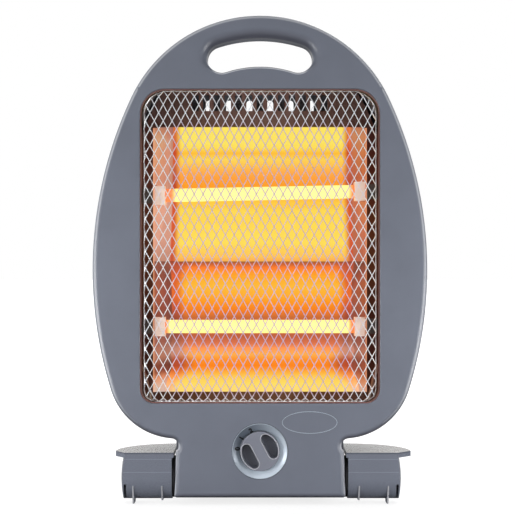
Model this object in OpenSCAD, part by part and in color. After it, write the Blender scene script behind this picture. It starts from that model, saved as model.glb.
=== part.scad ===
// Two-bar quartz heater with a carrying slot, a rotary switch and feet that fold back under its lobes.
// Width runs along X, depth along Y from the front face to the back, and height along Z.

/* [Front panel] */
// Width of the panel at its widest
body_w = 260; // [240:1:290]
// Height of the panel from its base line to its top
body_h = 374.5; // [360:0.5:400]
// Distance from the panel's top down to its widest point
widest_drop = 197.5; // [190:0.5:210]
// Radius of the long side curves
side_r = 314; // [290:1:340]
// Radius of the two lower lobes
lobe_r = 53.6; // [46:0.2:60]
// Height of the undersides of the lobes above the base line
lobe_z = 45.8; // [44:0.2:52]
// Width of the neck that stands between the feet
neck_w = 133; // [120:1:140]
// Radius of the notch between lobe and neck
notch_r = 5.9; // [4:0.1:8]
// How far the notch's centre lies outside the neck
notch_out = 2.7; // [2:0.1:3.5]
// Depth of the front panel
panel_depth = 12; // [10:0.5:16]
// Wall of the moulded shells
wall = 2.5; // [1.8:0.1:3.2]
// Rounding of the panel's front edge
edge_r = 4; // [2:0.5:6]

/* [Rear cover] */
// Depth of the whole body from the front face
body_depth = 80; // [78:1:100]
// Depth of the body round the carrying slot
rim_depth = 28; // [24:1:34]
// Distance from the panel's top down to the deep part of the cover
hump_drop = 48.5; // [47:0.5:49.5]
// Step from the panel's outline in to the cover's outline
cover_inset = 1; // [0.5:0.1:2]
// Step from the panel's outline in to the deep part of the cover
hump_inset = 7; // [6.6:0.1:9]
// Number of vent slots in a row of the cover
rear_vent_count = 8; // [6:2:8]
// Width of a vent slot of the cover
rear_vent_w = 5.5; // [4.5:0.1:6.5]
// Distance from one vent slot of the cover to the next
rear_vent_pitch = 16.7; // [14:0.1:17]

/* [Carrying slot] */
// Width of the carrying slot
slot_w = 82; // [70:1:86]
// Height of the carrying slot
slot_h = 22.8; // [20:0.2:23.4]
// Distance from the panel's top down to the middle of the carrying slot
slot_drop = 28.6; // [28:0.1:29.6]
// Radius that the carrying slot is bent along
slot_bend_r = 95; // [80:1:140]
// Width of the hollow round the carrying slot
slot_lip = 4; // [2:0.5:5]
// Depth of the hollow round the carrying slot
slot_lip_depth = 1.2; // [0.6:0.2:1.6]

/* [Opening and grille] */
// Width of the opening in the panel
opening_w = 186; // [170:1:188]
// Height of the panel's band above the opening
top_band = 57.5; // [57.1:0.2:71]
// Height of the opening's lower edge
opening_z = 73.4; // [73:0.2:78]
// Radius of the opening's upper corners
opening_top_r = 19.5; // [14:0.5:22]
// Radius of the opening's lower corners
opening_low_r = 11; // [9:0.5:15]
// Width of a strand of the grille
strand = 1; // [0.8:0.1:1.4]
// Width of one diamond of the grille
mesh_pitch = 6.9; // [6:0.1:9]
// Height of one diamond of the grille
mesh_rise = 12.5; // [10:0.5:15]
// Width of the grille's folded rim
mesh_rim = 1.6; // [1.2:0.1:2.4]
// Depth of the grille's folded rim
mesh_rim_depth = 5; // [4:0.5:6]
// Sheet of the grille frame
frame_sheet = 0.8; // [0.6:0.1:1.2]

/* [Reflectors and heat shield] */
// Distance from the panel's top down to the ridge between the two reflectors
ridge_drop = 191.5; // [188.5:0.5:194.5]
// Depth of the ridge behind the front face
ridge_depth = 16; // [15:0.5:18]
// Half width of the reflectors at the ridge
reflector_half_w = 83; // [81:0.5:86]
// Half width between the end plates at the deepest fold
reflector_back_half_w = 71.5; // [66:0.5:74]
// Reflector sheet
sheet = 0.8; // [0.5:0.1:1]
// Depth of the heat shield
shield_depth = 64; // [62.5:0.5:68]
// Step from the panel's outline in to the heat shield
shield_inset = 13; // [12.5:0.5:16]
// Number of vent slots in the heat shield
vent_count = 13; // [9:2:15]
// Width of a vent slot of the heat shield
vent_w = 5.3; // [4.5:0.1:6]
// Distance from one vent slot of the heat shield to the next
vent_pitch = 8.75; // [8:0.05:9.5]
// Distance from the panel's top down to the lower ends of these slots
vent_drop = 68.5; // [66.5:0.5:74.5]
// Height of these slots
vent_h = 13; // [10:0.5:14]

/* [Quartz tubes] */
// Outer diameter of a quartz tube
tube_d = 10.5; // [9:0.5:11.5]
// Wall of a quartz tube
tube_wall = 1; // [0.8:0.1:1.4]
// Diameter of the heating coil's winding
coil_d = 6.4; // [5:0.1:7]
// Depth of the tubes behind the front face
tube_depth = 24; // [23:0.5:25]
// Rise of the upper tube above the ridge
tube_rise = 54; // [50:0.5:58]
// Drop of the lower tube below the ridge
tube_drop = 51; // [47:0.5:55]
// Angle at which the upper tube hangs in its clips
upper_tilt = 1.2; // [0:0.1:1.5]
// Side of a ceramic end cap
cap_side = 14.8; // [13:0.2:16]
// Length of a ceramic end cap
cap_len = 9.4; // [8:0.2:10]
// Distance from the middle to a cap's inner face
cap_x = 74.6; // [72:0.2:75]

/* [Dial and knob] */
// Height of the knob's centre above the base line
knob_z = 36.3; // [35:0.1:38]
// Diameter of the knob
knob_d = 30.8; // [28:0.2:33]
// How far the knob stands out of the front face
knob_reach = 1; // [0:0.2:3]
// Width of the knob's grip bar
grip_w = 9.6; // [8:0.2:11]
// Depth of the two hollows beside the grip bar
grip_depth = 8; // [5:0.5:9]
// Direction of the grip bar at setting 2, from the right
grip_angle = 118; // [110:1:125]
// Diameter of the dial ring
dial_d = 42.9; // [42:0.1:46]
// How deep the dial ring dips in towards the knob
dial_dip = 3; // [2:0.2:4]
// How deep the dial's floor is sunk behind the front face
dial_sink = 11.6; // [10.8:0.2:13]
// Diameter of the switch shaft
shaft_d = 6; // [5:0.5:6]
// Running gap round a shaft or a hinge pin
running_gap = 0.05; // [0.02:0.01:0.1]
// Width of the oval badge line
badge_w = 43; // [36:1:44]
// Height of the oval badge line
badge_h = 17.4; // [14:0.2:18]

/* [Feet] */
// Height of the base line above the floor
base_lift = 5.5; // [4:0.5:7]
// Length of a foot's barrel
barrel_len = 40; // [36:0.5:42]
// Radius of the barrel, which turns about its own axis
barrel_r = 17.3; // [16:0.1:18]
// Gap between the neck and a barrel
foot_gap = 2; // [1.6:0.1:2.6]
// Height of the sole plate's face above the base line, when folded
sole_z = 35.3; // [35:0.1:37]
// Thickness of the sole plate
sole_t = 4; // [3:0.5:5]
// Radius of the sole plate's outline
sole_r = 48.8; // [44:0.2:50]
// How much farther the right sole plate reaches out than its middle place, and the left one in
sole_shift = 2.6; // [0:0.2:3]
// How much longer the right barrel is than the left one
right_longer = 1.9; // [0:0.1:2.5]
// Diameter of a hinge pin
pin_d = 8; // [6:0.5:9]
// Thickness of a stop rib
rib_t = 1.3; // [1:0.1:1.8]
// How far the inner stop rib reaches below the base line
inner_rib_drop = 2.8; // [1:0.2:4]
// Width of the slit beside the barrel's end
slit_w = 1.8; // [1.2:0.1:2.2]
// Height of that slit
slit_h = 10.5; // [8:0.5:12]

/* [Base] */
// Thickness of the base cover
base_t = 2.5; // [2:0.1:3.2]
// Diameter of a rubber pad
pad_d = 12; // [10:0.5:14]
// Distance of a rubber pad from the middle
pad_x = 40; // [36:1:44]
// Depth of the rubber pads behind the front face
pad_depth = 64; // [60:1:66]
// Diameter of the tip-over plunger
plunger_d = 7; // [6:0.5:8]
// Stroke of the tip-over plunger
plunger_stroke = 5; // [4:0.5:6]
// Distance of the plunger from the middle
plunger_x = 14; // [10:1:20]
// Depth of the plunger behind the front face
plunger_depth = 52; // [48:1:54]
// Bore of the cord gland
gland_bore = 7; // [6:0.5:8]
// Height of the cord gland above the base line
gland_z = 20; // [18:1:30]
// Distance of the cord gland to the left of the middle
gland_x = 34; // [25:1:38]
// Diameter of the screws
screw_d = 3; // [2.5:0.5:3.5]
// Diameter of the screw heads
screw_head_d = 6; // [5:0.5:7]

/* [Hidden] */
$fn = 48;

// The whole depth from knob to cord gland is centred on the origin, and the floor is at zero.
gland_len = 12;
front_y = (knob_reach - body_depth - gland_len) / 2;
eps = 0.01;
half_w = body_w / 2;
neck_half = neck_w / 2;
corner_r = 2;
arc_steps = 8;

// Heights above the base line that follow from the body's height.
widest_z = body_h - widest_drop;
hump_top_z = body_h - hump_drop;
slot_z = body_h - slot_drop;
opening_h = body_h - top_band - opening_z;
ridge_z = body_h - ridge_drop;
vent_z = body_h - vent_drop;

// Centres and radii of the outline's arcs, each tangent to the next.
side_c = [half_w - side_r, widest_z];
top_rise = body_h - widest_z;
top_r = (pow(side_r, 2) - pow(side_r - half_w, 2) - pow(top_rise, 2)) / (2 * (side_r - top_rise));
top_c = [0, body_h - top_r];
lobe_c_z = lobe_z + lobe_r;
lobe_c = [side_c.x + sqrt(pow(side_r - lobe_r, 2) - pow(lobe_c_z - widest_z, 2)), lobe_c_z];
notch_x = neck_half + notch_out;
notch_c = [notch_x, lobe_c_z - sqrt(pow(lobe_r + notch_r, 2) - pow(notch_x - lobe_c.x, 2))];
top_to_side = atan2(top_c.y - side_c.y, top_c.x - side_c.x);
side_to_lobe = atan2(lobe_c.y - side_c.y, lobe_c.x - side_c.x);
lobe_to_notch = atan2(notch_c.y - lobe_c.y, notch_c.x - lobe_c.x);

function arc(c, r, from, to, steps = arc_steps) =
    [for (i = [0:steps - 1]) let (a = from + (to - from) * i / steps) c + r * [cos(a), sin(a)]];

// Right half of the body's outline, from the top down, drawn in by inset and cut flat at top.
function outline_half(inset, top, bottom) =
    let (
        apex_gap = 1,
        highest = top_c.y + sqrt(pow(top_r - inset, 2) - pow(apex_gap, 2)),
        start = asin((min(top, highest) - top_c.y) / (top_r - inset)),
        notch_end = 360 - acos(-(notch_out + inset) / (notch_r + inset)),
        corner_c = [neck_half - inset - corner_r, bottom + corner_r]
    )
    concat(
        arc(top_c, top_r - inset, start, top_to_side),
        arc(side_c, side_r - inset, top_to_side, side_to_lobe),
        arc(lobe_c, lobe_r - inset, side_to_lobe, lobe_to_notch),
        arc(notch_c, notch_r + inset, lobe_to_notch + 180, notch_end),
        arc(corner_c, corner_r, 0, -90, 3),
        [[corner_c.x, bottom]]
    );

// A closed ring of points at one depth: down the right side, then up the left.
function ring(depth, inset, top = body_h, bottom = 0) =
    let (half = outline_half(inset, top, bottom), n = len(half))
    concat(
        [for (p = half) [p.x, depth, p.y]],
        [for (i = [n - 1:-1:0]) [-half[i].x, depth, half[i].y]]
    );

// A closed solid through rings of equal length, with both ends filled by level strips.
// Its outer rings run from the back to the front.
module skin(rings) {
    n = len(rings[0]);
    last = (len(rings) - 1) * n;
    walls = [
        for (k = [0:len(rings) - 2], i = [0:n - 1])
            let (a = k * n + i, b = k * n + (i + 1) % n)
            each [[a, b, b + n], [a, b + n, a + n]]
    ];
    strips = [for (i = [0:n / 2 - 2]) each [[i, n - 2 - i, i + 1], [i, n - 1 - i, n - 2 - i]]];
    far_strips = [for (f = strips) [f[0] + last, f[2] + last, f[1] + last]];
    polyhedron(points = [for (r = rings) each r], faces = concat(walls, strips, far_strips));
}

// Places what is drawn in depth from the front face and height from the base line.
module in_body() {
    translate([0, front_y, base_lift]) children();
}

// Turns a drawing in X and height into a slab that runs from one depth to another.
module slab(from, to) {
    translate([0, to, 0]) rotate([90, 0, 0]) linear_extrude(to - from) children();
}

// A round bar along the depth, at x and height z.
module rod_y(r, from, to, x, z) {
    translate([x, to, z]) rotate([90, 0, 0]) cylinder(r = r, h = to - from);
}

// A round bar along X at a depth and height.
module rod_x(r, from, to, depth, z) {
    translate([from, depth, z]) rotate([0, 90, 0]) cylinder(r = r, h = to - from);
}

// The opening's outline, grown by a margin.
module opening_shape(margin = 0) {
    top = opening_top_r + margin;
    low = opening_low_r + margin;
    w = opening_w / 2 + margin;
    z0 = opening_z - margin;
    z1 = opening_z + opening_h + margin;
    translate([-w, z0 + low]) square([2 * w, z1 - top - z0 - low]);
    translate([top - w, z0 + low]) square([2 * (w - top), z1 - z0 - low]);
    translate([low - w, z0]) square([2 * (w - low), z1 - top - z0]);
    for (s = [-1, 1]) {
        translate([s * (w - top), z1 - top]) circle(top);
        translate([s * (w - low), z0 + low]) circle(low);
    }
}

// The carrying slot's outline, an arc with round ends, grown by a margin.
module slot_shape(margin = 0) {
    end_r = slot_h / 2 + margin;
    turn = asin((slot_w / 2 - slot_h / 2) / slot_bend_r);
    c = [0, slot_z - slot_bend_r];
    right_c = c + slot_bend_r * [sin(turn), cos(turn)];
    left_c = [-right_c.x, right_c.y];
    polygon(concat(
        arc(c, slot_bend_r + end_r, 90 - turn, 90 + turn, 12),
        arc(left_c, end_r, 90 + turn, 270 + turn, 10),
        arc(c, slot_bend_r - end_r, 90 + turn, 90 - turn, 12),
        arc(right_c, end_r, 270 - turn, 450 - turn, 10)
    ));
}

// Places of the screws that join the two shells: beside the slot, and in wells over the neck.
rim_screw_place = [58, slot_z - 7.9];
deep_screw_place = [48, lobe_z + 6.2];
module at_rim_screws() {
    for (s = [-1, 1]) translate([s * rim_screw_place.x, 0, rim_screw_place.y]) children();
}
module at_deep_screws() {
    for (s = [-1, 1]) translate([s * deep_screw_place.x, 0, deep_screw_place.y]) children();
}
module at_shell_screws() {
    at_rim_screws() children();
    at_deep_screws() children();
}

post_r = screw_d / 2 + 2.5;
screw_gap = 0.05;
screw_bore_r = screw_d / 2 + screw_gap;
head_h = 2;
bush_d = shaft_d + 2;
switch_screw_x = 12;
// The dial is a cup: a ring that dips in, a sleeve round the knob, and a floor under it.
knob_gap = 0.5;
dial_t = 0.8;
dial_gap = 0.1;
dial_cup_r = knob_d / 2 + knob_gap + dial_t;
dial_back = dial_sink + wall;
module at_dial() {
    translate([0, 0, knob_z]) rotate([90, 0, 0]) children();
}

module front_panel() {
    color("slategray") in_body() difference() {
        union() {
            skin([
                ring(wall, edge_r + wall / 2, body_h, wall),
                ring(edge_r, wall, body_h, wall),
                ring(panel_depth, wall, body_h, wall),
                ring(panel_depth, 0),
                for (a = [0:22.5:90]) ring(edge_r * (1 - sin(a)), edge_r * (1 - cos(a)))
            ]);
            slab(wall / 2, panel_depth) opening_shape(wall);
            slab(wall / 2, panel_depth) slot_shape(wall);
            at_shell_screws() rod_y(post_r, wall / 2, panel_depth, 0, 0);
            rod_y(dial_d / 2 + wall / 2, wall / 2, dial_dip + dial_t + wall, 0, knob_z);
            rod_y(dial_cup_r + wall, wall / 2, dial_back, 0, knob_z);
        }
        slab(-1, panel_depth + 1) opening_shape();
        slab(-1, panel_depth + 1) slot_shape();
        slab(-1, slot_lip_depth) slot_shape(slot_lip);
        at_shell_screws() rod_y(screw_bore_r, wall + 1, panel_depth + 1, 0, 0);
        at_dial() rotate_extrude($fn = 96) polygon([
            [0, 1], [dial_d / 2 + dial_gap, 1],
            [dial_d / 2 + dial_gap, -dial_t - dial_gap],
            [dial_cup_r + dial_gap, -dial_dip - dial_t - dial_gap],
            [dial_cup_r + dial_gap, -dial_sink], [0, -dial_sink]
        ]);
        rod_y(bush_d / 2 + 0.2, dial_sink - 1, dial_back + 1, 0, knob_z);
        for (s = [-1, 1]) rod_y(screw_bore_r, dial_sink - 1, dial_back + 1, s * switch_screw_x, knob_z);
        badge_line();
    }
}

// The thin oval line of the empty badge, sunk into the face.
badge_place = [38.6, 58.6];
badge_line_w = 0.6;
badge_line_depth = 0.3;
badge_points = 48;
function oval(w, h) = [for (i = [0:badge_points - 1]) let (a = 360 * i / badge_points) [w / 2 * cos(a), h / 2 * sin(a)]];
module badge_line() {
    outer = oval(badge_w, badge_h);
    inner = oval(badge_w - 2 * badge_line_w, badge_h - 2 * badge_line_w);
    translate([badge_place.x, 0, badge_place.y]) slab(-1, badge_line_depth)
        difference() {
            polygon(outer);
            polygon(inner);
        }
}

// Rings of the rear cover's surface; extra is the wall for its inner side.
// The rim rounds over to its back, where the deep part starts and rounds over to the flat back.
rim_edge_r = 5;
shoulder_r = 12;
last_angle = 80;
rim_slope = 0.4;
function hump_ring(depth, inset, extra, low) =
    ring(depth - extra, inset + extra, hump_top_z + hump_inset - inset - extra, low);
function rim_ring(back, inset, extra, low) =
    ring(rim_depth - back - extra, cover_inset + inset + extra, body_h, low);
function cover_rings(extra, low) = [
    for (a = [last_angle:-20:20])
        hump_ring(body_depth - shoulder_r * (1 - sin(a)), hump_inset + shoulder_r * (1 - cos(a)), extra, low),
    hump_ring(body_depth - shoulder_r, hump_inset, extra, low),
    hump_ring(rim_depth + rim_slope, hump_inset, extra, low),
    rim_ring(0, rim_edge_r, extra, low),
    rim_ring(0.3 * rim_edge_r, 0.3 * rim_edge_r, extra, low),
    rim_ring(rim_edge_r, 0, extra, low),
    ring(panel_depth, cover_inset + extra, body_h, low)
];
module cover_cup() {
    inner = cover_rings(wall, base_t);
    skin(concat(cover_rings(0, 0), reversed(inner)));
}

// A row of upright slots from height z to z + h, cut from one depth to another.
module vent_row(count, pitch, w, z, h, from, to) {
    for (i = [0:count - 1])
        translate([(i - (count - 1) / 2) * pitch - w / 2, from, z]) cube([w, to - from, h]);
}
module rear_vent_row(z, h, from) {
    vent_row(rear_vent_count, rear_vent_pitch, rear_vent_w, z, h, from, body_depth + 1);
}

// The cover's back face lies this deep, just short of the whole depth.
back_depth = body_depth - shoulder_r * (1 - sin(last_angle));
high_vent_h = 28;
high_vent_z = hump_top_z - 10 - high_vent_h;
low_vent_z = opening_z + 10.6;
low_vent_h = 26;
hinge_depth = barrel_r;
pin_inside = neck_half - cover_inset - 3 * wall;
hinge_z = (sole_z - base_lift) / 2;
base_post_places = [[50, 36], [50, 60]];
base_post_h = 12;
deep_post_r = screw_head_d / 2 + 2.5;
well_r = screw_head_d / 2 + 0.5;
neck_inside = neck_half - cover_inset - wall;
hump_neck_inside = neck_half - hump_inset - wall;
base_rim = 1.5;
cover_gap = 0.3;
// A cheek of the cover stands behind each notch, beside the sole plate's inner end.
cheek_from = [neck_half - 6, 22, notch_c.y - notch_r - 1];
cheek_size = [5.4, 4, 2 * notch_r + 2];

// Outline of the neck's underside, drawn in by a margin from the cover's inner walls.
module base_shape(margin, front) {
    half = [
        [neck_inside - margin, front],
        [neck_inside - margin, rim_depth - wall - rim_edge_r - margin],
        [hump_neck_inside - margin, rim_depth - wall - margin],
        [hump_neck_inside - margin, body_depth - wall - shoulder_r],
        [hump_neck_inside - margin - shoulder_r / 2, body_depth - wall - 1.5 - margin]
    ];
    polygon(concat(half, [for (p = reversed(half)) [-p.x, p.y]]));
}

module rear_cover() {
    color("dimgray") in_body() difference() {
        union() {
            cover_cup();
            slab(panel_depth, rim_depth - wall / 2) slot_shape(wall);
            at_rim_screws() rod_y(post_r, panel_depth, rim_depth - wall / 2, 0, 0);
            at_deep_screws() rod_y(deep_post_r, panel_depth, body_depth - wall / 2, 0, 0);
            at_shield_screws() rod_y(post_r, shield_depth + sheet, body_depth - wall / 2, 0, 0);
            for (s = [-1, 1]) mirror([s < 0 ? 1 : 0, 0, 0]) {
                rod_x(pin_d / 2 + wall, pin_inside, neck_inside + wall / 3, hinge_depth, hinge_z);
                translate(cheek_from) cube(cheek_size);
                for (p = base_post_places) {
                    translate([p.x, p.y, base_t]) cylinder(r = post_r, h = base_post_h);
                    translate([p.x, p.y - 1, base_t]) cube([hump_neck_inside - p.x + wall / 2, 2, base_post_h]);
                }
            }
        }
        slab(panel_depth - 1, body_depth) slot_shape();
        at_shell_screws() {
            rod_y(screw_d / 2 + 0.2, panel_depth - 1, rim_depth + 1, 0, 0);
            rod_y(well_r, rim_depth - head_h, body_depth + 1, 0, 0);
        }
        at_shield_screws() rod_y(screw_bore_r, shield_depth, body_depth - wall, 0, 0);
        rear_vent_row(high_vent_z, high_vent_h, body_depth - shoulder_r - 2);
        rear_vent_row(low_vent_z, low_vent_h, back_depth - wall - 1);
        rod_x(pin_d / 2 + running_gap, -half_w, half_w, hinge_depth, hinge_z);
        rod_y(gland_bore / 2 + wall + running_gap, body_depth - wall - 3, body_depth + 1, -gland_x, gland_z);
        for (p = base_post_places, s = [-1, 1])
            translate([s * p.x, p.y, -1]) cylinder(r = screw_bore_r, h = base_post_h);
        translate([0, 0, -1]) linear_extrude(base_t + 1 + eps) base_shape(base_rim, panel_depth - 1);
    }
}

// The base cover fills the neck's underside from the panel to the back.
module base_cover() {
    color("dimgray") in_body() difference() {
        linear_extrude(base_t) base_shape(base_rim + cover_gap, panel_depth + cover_gap);
        for (s = [-1, 1]) {
            translate([s * pad_x, pad_depth, -1]) cylinder(r = pad_stem_r + running_gap, h = base_t + 2);
            for (p = base_post_places) translate([s * p.x, p.y, -1]) cylinder(r = screw_d / 2 + 0.2, h = base_t + 2);
        }
        translate([plunger_x, plunger_depth, -1]) cylinder(r = plunger_d / 2 + running_gap, h = base_t + 2);
    }
}

pad_stem_r = pad_d / 4;

module base_pads() {
    color("black") in_body() for (s = [-1, 1]) translate([s * pad_x, pad_depth, -base_lift]) {
        cylinder(r = pad_d / 2, h = base_lift);
        cylinder(r = pad_stem_r, h = base_lift + base_t);
        translate([0, 0, base_lift + base_t]) cylinder(r1 = pad_stem_r + 1, r2 = pad_stem_r - 1, h = 2);
    }
}

// The grille: two layers of strands that lean opposite ways, inside a folded rim.
mesh_depth = 2.6;
layer_gap = 0.1;
mesh_lean = atan2(mesh_pitch / 2, mesh_rise / 2);
mesh_margin = frame_sheet + 0.3;

module strand_layer(lean) {
    reach = opening_h + opening_w;
    spread = opening_w / 2 + opening_h / 2 * tan(mesh_lean);
    count = floor(spread / mesh_pitch);
    intersection() {
        for (i = [-count:count])
            translate([i * mesh_pitch, opening_z + opening_h / 2]) rotate(lean)
                square([strand, reach], center = true);
        opening_shape(-mesh_margin - mesh_rim / 2);
    }
}

module grille_mesh() {
    color("silver") in_body() {
        slab(mesh_depth, mesh_depth + mesh_rim_depth) difference() {
            opening_shape(-mesh_margin);
            opening_shape(-mesh_margin - mesh_rim);
        }
        slab(mesh_depth, mesh_depth + strand) strand_layer(mesh_lean);
        slab(mesh_depth + strand + layer_gap, mesh_depth + 2 * strand + layer_gap) strand_layer(-mesh_lean);
    }
}

// The frame lines the opening's wall, and its lip holds the grille from behind.
frame_lip = 4;
module grille_frame() {
    color("saddlebrown") in_body() {
        slab(1.2, panel_depth + frame_sheet) difference() {
            opening_shape(-0.1);
            opening_shape(-0.1 - frame_sheet);
        }
        slab(panel_depth, panel_depth + frame_sheet) difference() {
            opening_shape(wall);
            opening_shape(-0.1 - frame_sheet / 2);
        }
    }
}

// The heat shield: a pressed plate with its four edges folded forward.
shield_low_z = opening_z - 6.4;
shield_top_z = hump_top_z - 4;
side_flange_low = 45;
side_flange_cut = 69;
low_flange_half = lobe_c.x + 16.4;
flange_front = panel_depth + frame_sheet;
lug_gap = 0.1;
module heat_shield() {
    side_x = opening_w / 2 + 4.4;
    flange = shield_depth - flange_front;
    color("darkslategray") in_body() difference() {
        union() {
            intersection() {
                slab(shield_depth, shield_depth + sheet) polygon([
                    for (p = ring(0, shield_inset, shield_top_z)) [p.x, p.z]
                ]);
                translate([-half_w, 0, shield_low_z]) cube([body_w, body_depth, shield_top_z]);
            }
            for (s = [-1, 1]) translate([s * side_x - sheet / 2, flange_front, shield_low_z + side_flange_low])
                cube([sheet, flange + sheet / 2, opening_h - side_flange_cut]);
            translate([-opening_w / 4, flange_front, shield_top_z - sheet]) cube([opening_w / 2, flange + sheet, sheet]);
            translate([-low_flange_half, flange_front, shield_low_z])
                cube([2 * low_flange_half, flange + sheet, sheet]);
            for (s = [-1, 1], f = [upper_folds[5] - [0, 14], lower_folds[4] + [0, 4]])
                translate([s * 45 - 5, ridge_depth + f.x + sheet + lug_gap, ridge_z + f.y])
                    cube([10, shield_depth - ridge_depth - f.x - lug_gap, 9]);
        }
        vent_row(vent_count, vent_pitch, vent_w, vent_z, vent_h, shield_depth - 1, shield_depth + sheet + 1);
        at_shield_screws() rod_y(screw_bore_r, shield_depth - 1, shield_depth + sheet + 1, 0, 0);
        for (s = [-1, 1], z = [ridge_z + tube_rise, ridge_z - tube_drop])
            rod_x(3, s > 0 ? side_x - 2 : -side_x - 2, s > 0 ? side_x + 2 : -side_x + 2, tube_depth + 16, z);
    }
}

// Folds of the two reflector sheets: depth behind the ridge, and height from the ridge.
// The lower sheet's heights are shares of its drop, so that it ends at the opening's lower edge.
upper_folds = [[0, 0.3], [32, 46], [34, 59], [38, 76.5], [41, 90], [44, 109.5]];
lower_drop = ridge_z - opening_z - 5.6;
lower_shape = [
    [0, 0.003], [28, 0.1154], [36, 0.3125], [39, 0.4904],
    [39, 0.6635], [37, 0.7567], [34, 0.85], [26, 1]
];
lower_folds = [for (f = lower_shape) [f.x, -f.y * lower_drop]];
function at_ridge(folds, back = 0) = [for (f = folds) [ridge_depth + f.x + back, ridge_z + f.y]];
function reversed(list) = [for (i = [len(list) - 1:-1:0]) list[i]];

// Turns a drawing in depth and height into a solid along X.
module along_x(from, to) {
    translate([from, 0, 0]) rotate([90, 0, 90]) linear_extrude(to - from) children();
}

module reflector(folds) {
    in_body() along_x(-reflector_half_w, reflector_half_w)
        polygon(concat(at_ridge(folds), reversed(at_ridge(folds, sheet))));
}
module reflector_upper() {
    color("gold") reflector(upper_folds);
}
module reflector_lower() {
    color("orange") reflector(lower_folds);
}

// An end plate leans in towards the back and closes both troughs.
end_gap = 0.2;
end_front = ridge_depth - 1.5;
// Its upper and lower edges draw together towards the front.
end_top_drop = 4.5;
end_low_rise = 2.1;
module reflector_end(s) {
    deepest = ridge_depth + upper_folds[5].x;
    lean = reflector_half_w - reflector_back_half_w;
    upper_edge = reversed(at_ridge(upper_folds, -end_gap));
    lower_edge = at_ridge(lower_folds, -end_gap);
    last = lower_edge[len(lower_edge) - 1];
    front_edge = [[end_front, last.y + end_low_rise], [end_front, upper_edge[0].y - end_top_drop]];
    trough = concat(front_edge, upper_edge, lower_edge);
    window = cap_side / 2 + 0.6;
    window_reach = cap_side + cap_len;
    color("wheat") in_body() difference() {
        intersection() {
            mirror([s < 0 ? 1 : 0, 0, 0]) linear_extrude(body_h) polygon([
                [reflector_half_w, end_front], [reflector_half_w + sheet, end_front],
                [reflector_half_w + sheet - lean, deepest], [reflector_half_w - lean, deepest]
            ]);
            along_x(-half_w, half_w) polygon(trough);
        }
        for (z = [tube_end_z(s), ridge_z - tube_drop])
            translate([s * (cap_x + cap_len) - window_reach / 2, tube_depth - window, z - window])
                cube([window_reach, 2 * window, 2 * window]);
    }
}
module reflector_end_left() {
    reflector_end(-1);
}
module reflector_end_right() {
    reflector_end(1);
}

// Height of the upper tube's axis at its left or right cap.
function tube_end_z(s) = ridge_z + tube_rise + s * (cap_x + cap_len / 2) * tan(upper_tilt);
tube_in_cap = 6;
tube_half = cap_x + tube_in_cap;
tube_seat_gap = 0.05;

// Draws a tube's parts along X about its middle, at the upper or the lower place.
module at_tube(upper) {
    in_body() translate([0, tube_depth, upper ? ridge_z + tube_rise : ridge_z - tube_drop])
        rotate([0, upper ? -upper_tilt : 0, 0]) children();
}
module quartz_tube(upper) {
    at_tube(upper) difference() {
        rod_x(tube_d / 2, -tube_half, tube_half, 0, 0);
        rod_x(tube_d / 2 - tube_wall, -tube_half - 1, tube_half + 1, 0, 0);
    }
}
module heating_coil(upper) {
    at_tube(upper) {
        rod_x(coil_d / 2, -cap_x + 4, cap_x - 4, 0, 0);
        rod_x(0.8, -cap_x - cap_len - 3, cap_x + cap_len + 3, 0, 0);
    }
}
module end_caps(upper) {
    at_tube(upper) for (s = [-1, 1]) mirror([s < 0 ? 1 : 0, 0, 0]) difference() {
        translate([cap_x, -cap_side / 2, -cap_side / 2]) cube([cap_len, cap_side, cap_side]);
        rod_x(tube_d / 2 + tube_seat_gap, cap_x - 1, tube_half + 0.2, 0, 0);
        rod_x(0.9, cap_x, cap_x + cap_len + 1, 0, 0);
    }
}
module quartz_tube_upper() {
    color("khaki") quartz_tube(true);
}
module quartz_tube_lower() {
    color("khaki") quartz_tube(false);
}
module heating_coil_upper() {
    color("orangered") heating_coil(true);
}
module heating_coil_lower() {
    color("orangered") heating_coil(false);
}
module end_caps_upper() {
    color("linen") end_caps(true);
}
module end_caps_lower() {
    color("linen") end_caps(false);
}

// A spring clip stands behind each cap and is fixed to the heat shield's side.
clip_w = 12;
module tube_clips() {
    side_x = opening_w / 2 + 4.4;
    cap_end = cap_x + cap_len + 0.3;
    color("gray") in_body() for (s = [-1, 1], z = [tube_end_z(s), ridge_z - tube_drop])
        mirror([s < 0 ? 1 : 0, 0, 0]) difference() {
            union() {
                translate([cap_end, tube_depth - clip_w / 2, z - clip_w / 2]) cube([sheet, clip_w, clip_w]);
                translate([cap_end, tube_depth + clip_w / 2 - sheet, z - clip_w / 2])
                    cube([side_x - sheet / 2 - cap_end, sheet, clip_w]);
            }
            rod_x(1.2, cap_end - 1, cap_end + 2, tube_depth, z);
        }
}

// The thin floor of the dial, which the switch screws hold to the panel.
dial_floor = 0.6;
dial_rim = 0.2;
dial_rim_w = 0.9;
module dial_ring() {
    inner = knob_d / 2 + knob_gap;
    hub = bush_d / 2 + 0.2;
    color("lightsteelblue") in_body() difference() {
        at_dial() rotate_extrude($fn = 96) polygon([
            [hub, -dial_sink], [dial_cup_r, -dial_sink],
            [dial_cup_r, -dial_dip - dial_t], [dial_d / 2, -dial_t],
            [dial_d / 2, dial_rim], [dial_d / 2 - dial_rim_w, dial_rim], [inner, -dial_dip],
            [inner, dial_floor - dial_sink], [hub, dial_floor - dial_sink]
        ]);
        for (s = [-1, 1])
            rod_y(screw_d / 2 + 0.2, dial_sink - dial_floor - 1, dial_sink + 1, s * switch_screw_x, knob_z);
    }
}

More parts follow.
